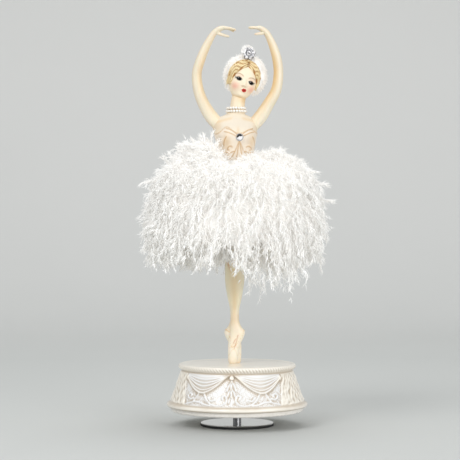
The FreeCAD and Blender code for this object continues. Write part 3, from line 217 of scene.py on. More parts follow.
def limb(stops, rings, sides):
    """Oval profile carried along a smooth path: each stop is a centre, a half width and a half depth."""
    line = smooth_line(stops, rings)
    heading = unit(np.gradient(line[:, :3], axis=0))
    side = unit(np.cross([0, 1, 0], heading))
    fore = np.cross(heading, side)
    return line[:, None, :3] + circle(side * line[:, 3:4], fore * line[:, 4:5], sides)


# Finishes

class Finish:
    """A node material built up from a principled shader."""

    def __init__(self, name, **sockets):
        self.material = bpy.data.materials.new(name)
        self.material.use_nodes = True
        self.tree = self.material.node_tree
        self.shader = self.tree.nodes["Principled BSDF"]
        self.place = self.node("TexCoord").outputs["Object"]
        self.feed(self.shader, **sockets)

    def feed(self, node, **sockets):
        """Sets a node's inputs to values, or links them to other nodes' outputs."""
        for name, value in sockets.items():
            socket = node.inputs[name.replace("_", " ").title().replace("Ior", "IOR")]
            if isinstance(value, bpy.types.NodeSocket):
                self.tree.links.new(value, socket)
            else:
                socket.default_value = value

    def node(self, kind, settings=None, **sockets):
        """A new node with its settings made and its inputs fed."""
        made = self.tree.nodes.new("ShaderNode" + kind)
        for name, value in (settings or {}).items():
            setattr(made, name, value)
        self.feed(made, **sockets)
        return made

    def noise(self, per_metre, detail=4, stretch=(1, 1, 1)):
        """Cloudy pattern of a given fineness, drawn out along an axis by the stretch."""
        drawn = self.node("Mapping", vector=self.place, scale=stretch).outputs["Vector"]
        return self.node("TexNoise", vector=drawn, scale=per_metre, detail=detail).outputs["Fac"]

    def ranged(self, source, low=0, high=1, ends=(0.3, 0.7)):
        """A pattern's values between two ends brought between low and high."""
        span = self.node("MapRange", value=source, from_min=ends[0], from_max=ends[1], to_min=low, to_max=high)
        return span.outputs["Result"]

    def tint(self, share, low, high, blend="MIX"):
        """One colour laid over another by a share."""
        kind = {"data_type": "RGBA", "blend_type": blend}
        return self.node("Mix", kind, factor=share, a=low, b=high).outputs["Result"]

    def painted(self, source, depth):
        """Base colour from the piece's own paint, dimmed a little where the pattern is low."""
        paint = self.node("Attribute", {"attribute_name": "paint"}).outputs["Color"]
        dim = self.tint(source, (1 - depth, 1 - depth * 1.1, 1 - depth * 1.3, 1), WHITE)
        return self.tint(1, paint, dim, "MULTIPLY")

    def set(self, base, roughness, bump, height, strength):
        """Links base colour, roughness and a bump pattern to the shader."""
        skin = self.node("Bump", height=bump, distance=height, strength=strength).outputs["Normal"]
        self.feed(self.shader, base_color=base, roughness=roughness, normal=skin)
        return self.material


def paint_finish(name, roughness, coat, depth, grain, **sockets):
    """Lacquered paint on cast resin: own paint colours, faint clouding and a fine skin."""
    made = Finish(name, coat_weight=coat, coat_roughness=0.12, **sockets)
    cloud = made.ranged(made.noise(90))
    gloss = made.ranged(made.noise(120), roughness - 0.02, roughness + 0.03)
    return made.set(made.painted(cloud, depth), gloss, made.noise(grain), 0.00004, 0.2)


def metal_finish(name, low, high, roughness, stretch=(1, 1, 1), streak=(1, 1, 1), per_metre=160):
    """Metal with drawn-out tool marks and a slightly uneven tone."""
    made = Finish(name, metallic=1)
    marks = made.noise(900, 5, stretch)
    base = made.tint(made.ranged(made.noise(per_metre, 4, streak)), (*low, 1), (*high, 1))
    return made.set(base, made.ranged(marks, roughness * 0.7, roughness * 1.4), marks, 0.00003, 0.2)


def plain_finish(name, low, high, roughness, grain, **sockets):
    """Moulded or woven stuff with clouded colour and grain."""
    made = Finish(name, **sockets)
    base = made.tint(made.ranged(made.noise(220)), (*low, 1), (*high, 1))
    gloss = made.ranged(made.noise(600), roughness - 0.08, roughness + 0.08)
    return made.set(base, gloss, made.noise(grain, 6), 0.0001, 0.3)


pearl_lacquer = paint_finish("pearl_lacquer", 0.3, 0.45, 0.02, 1400)
skin_paint = paint_finish("skin_paint", 0.42, 0.15, 0.05, 1800, subsurface_weight=0.06, subsurface_scale=0.002)
face_lacquer = paint_finish("face_lacquer", 0.5, 0.02, 0.04, 1800, specular_ior_level=0.12)
bodice_paint = paint_finish("bodice_paint", 0.42, 0.05, 0.05, 1600, specular_ior_level=0.35)
hair_paint = paint_finish("hair_paint", 0.4, 0.15, 0.1, 2600)
plume = paint_finish("white_plume", 0.85, 0, 0.02, 3000, sheen_weight=0.15)
cut_foil = paint_finish("foil_backed_stone", 0.16, 0.1, 0.02, 300, specular_ior_level=0.25)
black_silver = metal_finish("oxidised_silver", (0.2, 0.2, 0.22), (0.4, 0.4, 0.42), 0.25)
pad_rubber = plain_finish("pad_rubber", (0.012, 0.012, 0.012), (0.03, 0.03, 0.03), 0.75, 2400)
bead_pearl = plain_finish("bead_pearl", (0.86, 0.82, 0.75), (0.94, 0.92, 0.88), 0.22, 900, coat_weight=0.8)
band_ribbon = plain_finish("band_ribbon", (0.84, 0.83, 0.8), (0.92, 0.91, 0.89), 0.55, 5000, sheen_weight=0.4)

# Finishes of the nodes that keep their own shape, by slot
ALONG_X, ALONG_Z, STREAKED = (8, 1, 1), (1, 1, 8), (1, 1, 0.05)
NODE_FINISHES = {
    "chrome": metal_finish("chrome_plate", (0.62, 0.62, 0.62), (0.7, 0.7, 0.69), 0.05),
    "silver": metal_finish("silver_plate", (0.74, 0.74, 0.76), (0.86, 0.86, 0.87), 0.16),
    "steel": metal_finish("turned_steel", (0.5, 0.5, 0.51), (0.66, 0.66, 0.67), 0.28, ALONG_Z),
    "spring_steel": metal_finish("spring_steel", (0.34, 0.35, 0.38), (0.5, 0.51, 0.54), 0.24, ALONG_Z),
    "dark_steel": metal_finish("black_steel", (0.015, 0.015, 0.016), (0.42, 0.42, 0.43), 0.2, STREAKED, STREAKED, 340),
    "brass": metal_finish("cut_brass", (0.68, 0.5, 0.22), (0.82, 0.64, 0.32), 0.26, ALONG_X),
    "zinc": metal_finish("cast_zinc", (0.52, 0.52, 0.53), (0.66, 0.66, 0.66), 0.42),
    "fan_plastic": plain_finish("fan_plastic", (0.78, 0.78, 0.74), (0.86, 0.86, 0.83), 0.5, 1500),
    "pearl_resin": plain_finish("cast_pearl", (0.86, 0.82, 0.76), (0.92, 0.88, 0.83), 0.3, 1400, coat_weight=0.5),
}


# Base with draped relief

CREAM = colour(247, 241, 230)
PEARL = colour(241, 241, 241)
# Colour of the painted shade in the base's hollows and grooves.
CREAM_SHADE = colour(186, 166, 140)
PATTERN_TURN = -5.5
WALL_RADIUS = 45
FIRST_LIP_ROW, FIRST_WALL_ROW = 5, 9
ROPE_UP = 41
DRAPE_TOP = 38.4
SWAG = [(2, 38.2), (6.7, 34.5), (11.6, 30.7), (17.2, 27.5), (22.6, 26.3), (28.2, 27.9), (34.3, 31.5), (41, 36)]
SWAG_FOLDS = [(1, 0.65, 0.85), (0.83, 0.42, 0.7), (0.62, 0.5, 0.5), (0.44, 0.45, 0.45), (0.26, 0.45, 0.4)]
RIB = [(0, 17.8), (0.3, 23), (-0.3, 29), (0, 35.6)]
SCROLLS = [
    [
        (20.1, 25.7), (18.1, 22.5), (14.7, 19.7), (11.1, 18.4), (7, 18.4), (3.9, 20.2), (3.1, 22.8), (4.5, 24.9),
        (6.4, 24.2), (6, 22.6),
    ],
    [(24.7, 25.8), (26.3, 23.4), (28, 20.9)],
    [(34.2, 18.4), (30.7, 19.3), (26.5, 20.4), (22.3, 20), (18.2, 18.8), (14.5, 18.3)],
    [(28.8, 22.5), (31.1, 22), (33.6, 22.8), (34.4, 24.4), (32.7, 25.5), (30.7, 24.8), (31.4, 23.6)],
    [(16.7, 23.6), (14.2, 21.4), (11.4, 21.9)],
    [(0.3, 34), (2, 31.5), (3.2, 28.4)],
    [(0.2, 29.5), (1.8, 27.2), (2.6, 24.8)],
    [(0.2, 24.4), (1.3, 22.6), (1.7, 20.6)],
]


def base_profile():
    """Half outline of the base from the underside's middle, round the foot lip and rim, to the middle of the top."""
    inner = [(0, 39.8), (20, 39.8), (36.4, 39.8), (36.6, 35.2), (38.9, 33.8), (43.7, 13.5)]
    lip = [(46.9, 13.5), (48.6, 13.9), (49.4, 14.9), (48.9, 16.2), (47.2, 17.1)]
    side = [
        (46.5, 17.6), (45, 21), (43.5, 25), (42.1, 29), (41, 32), (39.9, 35), (39, 37.4), (38.6, 38.8),
    ]
    edge = [(38.9, 39.4), (39.7, 40.2), (40.4, 41.2), (40.8, 42.2), (40.6, 43), (39.9, 43.45), (39, 43.5)]
    top = [(38.4, 43.3), (37.7, 43.2), (37, 43.35), (36.2, 43.5), (24, 43.5), (10, 43.5), (0, 43.5)]
    return concatenate([inner, lip, smooth_line(side, 72), smooth_line(edge, 24), top])


def drape_relief(angle, up):
    """Height of the carving on the unrolled wall: swags with stacked folds, scrolls on a stippled ground and gathered
    side panels. The pattern is the same before and behind. Gives the panels' share too."""
    degrees = (np.degrees(angle) + 90 - PATTERN_TURN + 180) % 360 - 180
    front = np.where(abs(degrees) > 90, degrees % 360 - 180, degrees)
    across = radians(front) * WALL_RADIUS
    height = np.zeros(across.shape)
    swag = smooth_line(SWAG, 90)
    for facing in (-1, 1):
        aside = across * facing
        inside = ease(1.4, 2.6, aside) * ease(41.5, 40.5, aside)
        hang = np.interp(aside, swag[:, 0], swag[:, 1])
        height += 0.4 * ease(-0.5, 0.4, up - hang) * inside
        for depth, thick, rise in SWAG_FOLDS:
            height += rise * mound(up, DRAPE_TOP - (DRAPE_TOP - hang) * depth, thick) * inside
        for stops in SCROLLS:
            height += 0.65 * mound(near_line(aside, up, stops, 40), 0, 0.55) * (aside > -1)
        rosette = np.sqrt(((aside - 40.4) / 1.6) ** 2 + ((up - 35.8) / 2) ** 2)
        height = maximum(height, 1.3 * ease(1.15, 0.5, rosette))
    height += 0.7 * mound(near_line(across, up, RIB, 40), 0, 0.7)
    knot = np.sqrt((across / 2.2) ** 2 + ((up - 36.6) / 1.8) ** 2)
    height = maximum(height, 1.4 * ease(1.15, 0.5, knot))
    stipple = sin(across * 3.1 + 2.5 * sin(up * 1.1)) * sin(up * 3.3 + 2.5 * sin(across * 0.8))
    height += 0.12 * stipple * ease(0.3, 0.05, height)
    off_side = abs(degrees) - 90
    panel = ease(1.2, -1.2, abs(off_side) - 44.5 + 0.47 * (up - 18))
    spread = 1 + 0.03 * (38 - up)
    wander = 0.5 * sin(up * 0.5 + 3 * sin(degrees * 0.11)) + 0.25 * sin(up * 1.3 + 5 * sin(degrees * 0.23))
    folds = 0.5 + 0.5 * cos((radians(off_side) * WALL_RADIUS / spread + wander) * TURN / 3)
    lumps = sin(up * 0.9 + 4 * sin(degrees * 0.17)) * sin(degrees * 0.31 + up * 0.2)
    gathered = 0.35 + 0.5 * folds * (0.7 + 0.3 * lumps) + 0.2 * lumps
    height = height * (1 - panel) + panel * gathered
    return height * ease(17.3, 18.3, up) * ease(39, 38, up), panel


def make_base():
    """Base turned from its profile, pushed out by the relief, with a rope twist round the rim and painted shade in its
    hollows.
    """
    profile = base_profile()
    radius, up, angle = np.broadcast_arrays(profile[1:-1, 0:1], profile[1:-1, 1:2], round_steps(840))
    rows = np.arange(1, len(profile) - 1)[:, None]
    outside = (rows >= FIRST_WALL_ROW) & (radius > 38)
    carving, panel = drape_relief(angle, up)
    rope = outside * mound(up, ROPE_UP, 1.1) * (0.5 + 0.5 * sin(angle * 112 + (up - ROPE_UP) * 1.7))
    relief = np.where(outside, carving, 0) + 0.55 * rope
    radius = radius + relief
    blurred = relief
    for _ in range(3):
        blurred = (blurred + np.roll(blurred, 3, 1) + np.roll(blurred, -3, 1)) / 3
        blurred[2:-2] = (blurred[2:-2] + blurred[:-4] + blurred[4:]) / 3
    underside = np.gradient(relief, axis=0) / maximum(np.gradient(up, axis=0), 0.05)
    under_lip = (rows >= FIRST_LIP_ROW) & (radius > 43) & (up < 14.6)
    # Painted shade: darker in the carving's hollows, under its raised lines, in the groove above the lip, under the rim
    # and under the foot lip.
    painted_shade = maximum.reduce([
        clip((blurred - relief) / 0.24, 0, 1) * outside,
        0.85 * clip(underside / 1.3, 0, 1) * outside,
        0.9 * mound(up, 17.2, 0.5) * outside,
        mound(up, 39, 0.7) * outside,
        ease(14.5, 13.7, up) * under_lip,
    ])
    plain = clip(ease(17.8, 17.2, up) + ease(38.4, 39, up) + panel, 0, 1)
    cream = maximum(ease(0.75, 1.2, relief), plain)
    rings = xyz(radius * cos(angle), radius * sin(angle), up)
    paint = coats(PEARL, (CREAM, cream), (CREAM_SHADE, 0.85 * painted_shade))
    return solid(rings, (0, 0, profile[0, 1]), (0, 0, profile[-1, 1]), paint)


put("base_relief", [make_base()], pearl_lacquer, ["base_shell"])


def make_pad():
    """Rubber pad turned from its profile, with a lip that comes up round the lower half of the foot disc."""
    profile = [(24, 0), (25.2, 0), (25.65, 0.4), (25.68, 1.6), (25.56, 1.75), (25.56, 1), (24, 1)]
    radius, up = np.array(profile)[..., None].swapaxes(0, 1)
    angle = round_steps(160)
    return solid(xyz(radius * cos(angle), radius * sin(angle), up), (0, 0, 0), (0, 0, 1))


put("foot_rubber", [make_pad()], pad_rubber, ["foot_pad"], body="foot")


# Dancer

SKIN = colour(246, 232, 208)
# Ochre of the painted shade on the skin, also used for the slipper's seam and lines.
SKIN_SHADE = colour(226, 188, 128)
# Skin toned down for the arms, which the lamps light strongly: painted shade.
ARM_PAINTED_SHADE = colour(238, 228, 206)
# Skin painted lighter above the ankle: painted light where the tutu shades the leg.
SHIN_PAINTED_LIGHT = colour(254, 243, 214)
SLIPPER = colour(246, 236, 216)
BODICE = colour(238, 226, 210)
# Skin toned down over the upper chest, which faces the key lamp: painted shade.
CHEST_PAINTED_SHADE = colour(231, 220, 203)
BODICE_LINE = colour(196, 152, 88)
BLUSH = colour(246, 190, 170)
TRIM = colour(190, 112, 58)

FRONT_LEG = [
    (0, -1.2, -1.6, 2.4, 2.2), (1.4, -1.2, -1.7, 3.1, 2.7), (6.5, -1, -1.9, 3.6, 3), (13, -0.4, -2, 4.1, 3.2),
    (18.5, 1.3, -2, 5, 3.3), (22.5, 1.9, -2.1, 5.1, 3.2), (26.5, 0.5, -2.1, 3.7, 3), (32, -0.2, -2.1, 2.8, 2.8),
    (38, -0.2, -2.3, 3.1, 3.2), (46, -0.3, -3, 4.7, 4.8), (56, -0.5, -3.8, 6.1, 6), (64, -0.8, -4.2, 6, 6),
    (74, -1.6, -4.4, 5.6, 5.8), (93.4, -4.2, 0, 7.4, 7.4), (117.4, -6.4, 0, 8.2, 8.6),
]
LACES = [[(2.2, 19.8), (1.2, 15.4), (-0.3, 10.8)], [(0.6, 17.2), (-0.9, 14.4)]]
TORSO = [
    (0, -1.7, 0.4, 15.4, 10.8), (8, -1.2, 0.5, 15.6, 11.2), (16, -0.5, 0.2, 12.9, 9.8), (23, 0, 0, 11.5, 8.9),
    (32, -0.3, -0.3, 12.4, 9.3), (41, -1, -1.2, 14.5, 10.5), (47, -1.3, -0.6, 15.4, 9.6), (52, -1.4, 0.2, 15.4, 8.2),
    (55.5, -1.2, 0.6, 11.4, 6.8), (58, -0.9, 0.8, 6.7, 5.7), (62, 0, 0.6, 5.4, 5.2), (66.5, 0.6, 0.5, 5, 4.9),
    (71, 1.5, 0.5, 5, 4.9), (78, 3.2, 0.6, 5, 4.9),
]
SPRAYS = [
    [(0.4, 38), (1.9, 34), (3.4, 30.6), (5.2, 27.4), (7.6, 24)],
    [(0.2, 38), (0.9, 33.5), (1.6, 29), (2.6, 24.5)],
    [(0.8, 41.6), (3, 44.2), (5.8, 46.2), (8.8, 47.2)],
    [(1, 41), (4, 42.7), (7, 44.2), (10, 45)],
    [(4.8, 34.4), (6.2, 35), (7.6, 34.2), (8, 32.8), (7, 32.2)],
    [(3, 31.4), (4.8, 31), (6.6, 30.2), (8.8, 30.6)],
    [(8.6, 41.4), (10.2, 38.6), (10.6, 35.6)],
]
BODICE_MIDDLE = 1.5


def level_rings(stops, rings, sides):
    """Ovals in level planes through stops of height, sideways and forward centre, half width and half depth."""
    up, middle_x, middle_y, wide, deep = smooth_line(stops, rings).T[..., None]
    angle = round_steps(sides)
    points = xyz(middle_x + wide * cos(angle), middle_y + deep * sin(angle), up)
    return points, np.repeat(angle[None], rings, 0)


def leg(facing):
    """One leg en pointe: the front one, or the back one turned half round, with its slipper's colour and seam."""
    stops = np.array(FRONT_LEG)
    stops[:, 1:3] *= facing
    rings, angle = level_rings(stops, 150, 56)
    up = rings[..., 2]
    ahead = sin(angle) * facing
    edge = 21 + 2.6 * cos(angle + (0 if facing > 0 else pi)) - 9 * mound(ahead, -1, 0.3)
    seam = mound(up, edge, 0.4)
    shoe = ease(0.3, -0.3, up - edge)
    centre = rings.mean(1, keepdims=True)
    grown = 1 + 0.035 * shoe + 0.02 * seam
    rings[..., :2] = centre[..., :2] + (rings[..., :2] - centre[..., :2]) * grown[..., None]
    # Ochre seam and lines on the slipper, a band at the ankle and a darker middle down front and back; the dark at the
    # toe's tip is painted shadow where it stands on the base.
    middle = mound(cos(angle), 0, 0.55) * ease(26, 40, up)
    crease = 0.45 * mound(up, 8 + 2.2 * sin(3 * angle), 0.35)
    crease = crease + 0.4 * mound(up, 12.5 + 1.6 * cos(4 * angle), 0.35)
    shade = 0.8 * seam + crease + 0.3 * mound(up, 30, 4) + 0.25 * ease(6, 0, up) + 0.45 * middle
    lace = np.minimum.reduce([near_line(rings[..., 0], up, line) for line in LACES])
    paint = coats(
        SKIN, (SHIN_PAINTED_LIGHT, ease(28, 45, up)), (SLIPPER, shoe), (SKIN_SHADE, clip(shade, 0, 1)),
        (TRIM, 0.75 * mound(up, 70.5, 4) * ease(0.2, 0.9, cos(angle * 7 + up * 0.5))),
        (TRIM, 0.6 * mound(lace, 0, 0.34) * (ahead < -0.3) * (facing > 0)),
    )
    return solid(rings + [FIGURE_X, 0, BASE_TOP], paint=paint)


put("dancer_legs", [leg(1), leg(-1)], skin_paint, ["legs"])


def make_torso():
    """Torso through level ovals with the bust raised; the bodice's edge and sprays are laid on as relief and colour."""
    rings, angle = level_rings(TORSO, 200, 230)
    across, up = rings[..., 0], rings[..., 2]
    facing = ease(0.1, 0.6, -sin(angle))
    bust = (mound(across, -5.9, 4.2) + mound(across, 7.2, 4.2)) * mound(up, 43, 5) * facing
    edge = 43.4 + 4.8 * mound(across, -7, 4.2) + 3.1 * mound(across, 8.8, 4.2)
    edge = np.where(sin(angle) < 0, edge, 43)
    hem = 0.4 * mound(up, edge, 0.45) * (0.75 + 0.25 * cos(across * 4.5))
    sprays = np.zeros(across.shape)
    for side in (-1, 1):
        local = (across - BODICE_MIDDLE) * side
        for stops in SPRAYS:
            line = mound(near_line(local, up, stops, 36), 0, 0.36)
            sprays = maximum(sprays, line * (local > -0.4) * facing)
    leaf = 0.5 + 0.5 * cos(across * 3.1 + up * 2.3)
    push = 1.5 * bust + hem + 0.55 * sprays * (0.8 + 0.2 * leaf)
    away = unit(xyz(cos(angle), sin(angle) * 1.3, 0))
    aside = abs(across)
    # Painted shade along the collarbones, under the bust, in the cleft, at the armpits and on the neck under the chin,
    # most on its right side.
    collarbone_shade = mound(up, 55.5 - 0.25 * aside, 1.1) * ease(2, 5, aside) + mound(up, 60.5, 2)
    under_bust_shade = mound(abs(across - BODICE_MIDDLE), 8.5, 2.6) * mound(up, 38, 5)
    cleft_shade = mound(across, 0.6, 1) * mound(up, 45.5, 3)
    neck_shade = 0.2 + 0.6 * ease(-2.5, 4, across - BODICE_MIDDLE)
    paint = coats(
        SKIN, (CHEST_PAINTED_SHADE, mound(up, 50, 9)), (BODICE, ease(0.3, -0.3, up - edge)),
        (SKIN_SHADE, 0.4 * under_bust_shade * facing), (SKIN_SHADE, 0.35 * cleft_shade * facing),
        (SKIN_SHADE, 0.4 * clip(collarbone_shade, 0, 1)), (SKIN_SHADE, 0.3 * ease(9, 13, aside) * mound(up, 49, 4)),
        (SKIN_SHADE, neck_shade * ease(61, 69, up)),
        (BODICE_LINE, 0.85 * clip(maximum(sprays, hem * 2.2), 0, 1)),
    )
    return solid(rings + away * push[..., None] + [0, 0, HIP], paint=paint)


put("dancer_torso", [make_torso()], bodice_paint, ["torso"])


ARM_OVALS = [
    (0.4, 4.6, 4.6), (0, 4.7, 4.6), (-0.8, 4.1, 4.2), (-1.8, 3.7, 3.8), (-3, 3.4, 3.5), (-4.6, 3.3, 3.3),
    (-6.2, 2.9, 2.9), (-7.6, 2.3, 2.5), (-8.3, 2.1, 2.8), (-9, 1.8, 3.1), (-9.5, 1.4, 2.9),
]
THUMB_OVALS = [(-8.6, 1.35, 1.4), (-9.6, 1.15, 1.2), (-10.4, 0.95, 1), (-10.8, 0.75, 0.8), (-10.9, 0.35, 0.4)]
FINGER_LENGTHS = (0.86, 1, 0.97, 0.8)
FINGER_TAPER = [(-0.25, 0.95), (0, 0.98), (0.35, 0.86), (0.7, 0.76), (0.94, 0.58), (1, 0.3)]
FINGER_SPREAD = np.array([0, 0, 0.25])


def fingers(knuckles, reach, droop):
    """Four tapering fingers side by side in depth, each bent a little more than the last."""
    made = []
    for number, length in enumerate(FINGER_LENGTHS):
        side = number - 1.5
        start = np.array(knuckles) + [0, 1.35 * side, -0.15 * abs(side)]
        bend = np.array(droop) * (0.5 + 0.35 * number)
        stops = []
        for share, thick in FINGER_TAPER:
            ahead = max(share, 0)
            place = start + np.array(reach) * length * share + bend * ahead ** 2 + FINGER_SPREAD * side * ahead
            stops.append((*place, thick, thick))
        made.append(limb(stops, 22, 14))
    return made


def oval_limb(line, ovals, rings, sides):
    """Limb along places across and up, with a place in depth and half sizes for each."""
    return limb([(x, y, z, wide, deep) for (x, z), (y, wide, deep) in zip(line, ovals)], rings, sides)


def arm(side, line, thumb, hand, inner):
    """Arm as a carried oval with four fingers and a thumb, with painted shade on its inner side."""
    solids = []
    limbs = [oval_limb(line, ARM_OVALS, 130, 44), *fingers(*hand), oval_limb(thumb, THUMB_OVALS, 24, 16)]
    for index, rings in enumerate(limbs):
        along = linspace(0, 1, len(rings))[:, None]
        inward = cos(round_steps(rings.shape[1])) * np.sign(-line[0][0])
        # Painted shade on the arm's inner side and faintly round its outer side; fingers and thumb darker towards their
        # tips.
        shade = 0.3 * along + 0 * inward
        if index == 0:
            outer = 0.2 * ease(0.3, 1, -inward) * ease(0.1, 0.3, along)
            shade = inner * ease(-0.6, 0.8, inward) * mound(along, 0.4, 0.35) + outer + 0.03
        solids.append(solid(rings + [0, 0, HIP], paint=mix(ARM_PAINTED_SHADE, SKIN_SHADE, shade)))
    put("dancer_arm_" + side, solids, skin_paint, ["arm_" + side])


# Each arm's last number is how strong the painted shade on its inner side is.
arm(
    "left",
    [(-11, 48.5), (-18, 56), (-23.5, 65), (-27, 74.5), (-28.2, 85.5), (-25.8, 94.5), (-21.8, 104),
     (-17.4, 111.8), (-14.4, 115), (-11.4, 116.6), (-8.6, 117.2)],
    [(-14.4, 114.2), (-11.6, 112.6), (-8.6, 111.6), (-6.2, 110.9), (-5.4, 110.7)],
    ((-8.8, -9.4, 117.2), (7.4, -1.2, 0), (0.4, -0.2, -1.9)), 0.5,
)
arm(
    "right",
    [(9.6, 48.5), (16.3, 56), (22, 65), (27.2, 74.5), (28.8, 85.5), (27.9, 95), (25.2, 104),
     (21.8, 111.4), (19.4, 114.6), (16.6, 116.5), (14.2, 117.4)],
    [(19.2, 114), (16.8, 113.2), (14.4, 112.8), (12.8, 112.5), (12, 112.3)],
    ((14.6, -9.4, 117.2), (-6.4, -1.2, 0.7), (-0.4, -0.2, -0.8)), 0.85,
)


# Head

HEAD_ROLL = radians(14.5)
HEAD_YAW = radians(10)
EYE_DARK = colour(3, 2, 2)
EYE_WHITE = colour(250, 248, 244)
BROW = colour(168, 118, 72)
LIP = colour(196, 62, 52)
HAIR = colour(248, 231, 182)
# Darker gold: painted shade in the hair's grooves, and one end of the curls' random tones.
HAIR_SHADE = colour(166, 112, 46)


def head_frame(right, forward, up):
    """Head's own right, forward and up turned to the viewer's right, tilted and set on the neck."""
    x, depth = turned(right, forward, HEAD_YAW)
    x, z = turned(x, up, HEAD_ROLL)
    return xyz(x, -depth, z) + HEAD


EGG_WIDE, EGG_DEEP, EGG_TALL = 10.3, 10, 13.4
EYE_SIDE = 4.5
EYE_SLANT = 0.09
MOUTH_SIDE = -1


def face_reach(right, up):
    """How far features stand forward of the plain egg of the face."""
    side = abs(right)
    bridge = 0.35 + 1.5 * ease(0.6, -3.9, up)
    narrow = mound(right, 0, 0.75 + 0.5 * ease(-1, -4, up))
    nose = bridge * ease(-5.3, -4.1, up) * ease(2.6, -0.4, up) * narrow
    wings = 0.45 * mound(side, 1.2, 0.6) * mound(up, -4.4, 0.6)
    socket = -0.7 * mound(side, EYE_SIDE, 2.3) * mound(up, -0.5, 1.6)
    ball = 0.6 * mound(side, EYE_SIDE, 1.7) * mound(up, -0.8, 1.1)
    brow = 0.3 * mound(side, EYE_SIDE, 2.8) * mound(up, 2.9, 1)
    pout = mound(right, MOUTH_SIDE, 1.8)
    lips = (0.6 * mound(up, -6.7, 0.5) + 0.7 * mound(up, -8, 0.6) - 0.4 * mound(up, -7.3, 0.25)) * pout
    chin = 0.9 * mound(right, 0, 2.8) * mound(up, -11, 1.6)
    cheek = 0.9 * mound(side, 5.2, 2.8) * mound(up, -5, 3)
    return nose + wings + socket + ball + brow + lips + chin + cheek


def face_paint(right, up, front):
    """Skin with painted eyes, lashes, brows, lips and a little colour on the cheeks."""
    side = abs(right)
    apart = side - EYE_SIDE
    rise = up + 0.7 - EYE_SLANT * right
    eye = (apart / 2.2) ** 2 + (rise / (1.25 - 0.06 * apart ** 2)) ** 2
    iris = np.sqrt((0.9 * apart) ** 2 + (rise - 0.1) ** 2)
    lash = mound(rise, 1 - 0.2 * apart ** 2, 0.36) * ease(2.9, 2.5, apart) * ease(-2.5, -2.1, apart)
    flick = mound(rise, 0.5 + 0.5 * (apart - 2), 0.28) * ease(3.3, 2.8, apart) * ease(1.4, 1.9, apart)
    fringe = mound(rise, -1.3 + 0.16 * apart ** 2, 0.4) * ease(2.4, 2, abs(apart))
    fringe = fringe * (0.5 + 0.5 * cos(apart * 7))
    arch = mound(rise, 3.5 - 0.12 * apart ** 2 + 0.1 * apart, 0.26) * ease(2.9, 2.3, abs(apart))
    pursed = right - MOUTH_SIDE
    bow = -6.3 + 0.35 * mound(abs(pursed), 0.7, 0.5) - 0.25 * pursed ** 2
    lips = ease(0.15, -0.15, up - bow) * ease(-0.15, 0.15, up + 8.6 - 0.35 * pursed ** 2)
    lips = lips * ease(1.8, 1.5, abs(pursed))
    # Painted highlight in each eye.
    eye_highlight = np.sqrt((right - 0.6 - np.sign(right) * EYE_SIDE) ** 2 + (rise - 0.55) ** 2)
    return coats(
        SKIN,
        (BLUSH, 0.85 * front * mound(side, 5.8, 2.6) * mound(up, -5.6, 2.6)),
        (BLUSH, 0.4 * front * mound(apart, 0, 2.4) * mound(rise, 1.9, 0.8)),
        # Painted shade beside the nose and under the jaw.
        (SKIN_SHADE, 0.5 * front * mound(side, 1, 0.4) * mound(up, -4.9, 0.45)),
        (SKIN_SHADE, 0.6 * ease(-10.4, -13, up)),
        (BROW, 0.9 * front * arch),
        (EYE_WHITE, front * ease(1.1, 0.85, eye)),
        (EYE_DARK, front * ease(1.7, 1.45, iris) * ease(1.25, 1, eye)),
        (EYE_DARK, front * clip(lash + 0.8 * flick + 0.4 * fringe, 0, 1)),
        (EYE_WHITE, front * ease(0.26, 0.14, eye_highlight)),
        (LIP, front * lips),
        (EYE_DARK, 0.7 * front * mound(up, -7.35, 0.22) * mound(pursed, 0, 0.9)),
    )


def make_head():
    """Egg-shaped head with a narrower jaw; its features are pushed forward and its face painted by formula."""
    share = round_steps(220)
    around = pi + share + 0.55 * sin(share)
    rise = linspace(-0.5, 0.5, 190)[1:-1, None] * pi
    up = EGG_TALL * sin(rise) + 0 * around
    up = up * (1 + 0.08 * ease(-4, -13, up))
    jaw = 1 - 0.16 * ease(-3, -13, up)
    right = EGG_WIDE * jaw * cos(rise) * sin(around)
    forward = EGG_DEEP * (1 - 0.1 * ease(-2, -13, up)) * cos(rise) * cos(around)
    front = ease(2, 5.5, forward)
    forward = forward + front * face_reach(right, up)
    rings = head_frame(-right, forward, up)[:, ::-1]
    paint = face_paint(right, up, front)[:, ::-1]
    return solid(rings, head_frame(0, 0, -14.5), head_frame(0, 0, EGG_TALL), paint)


put("dancer_head", [make_head()], face_lacquer, ["head"])


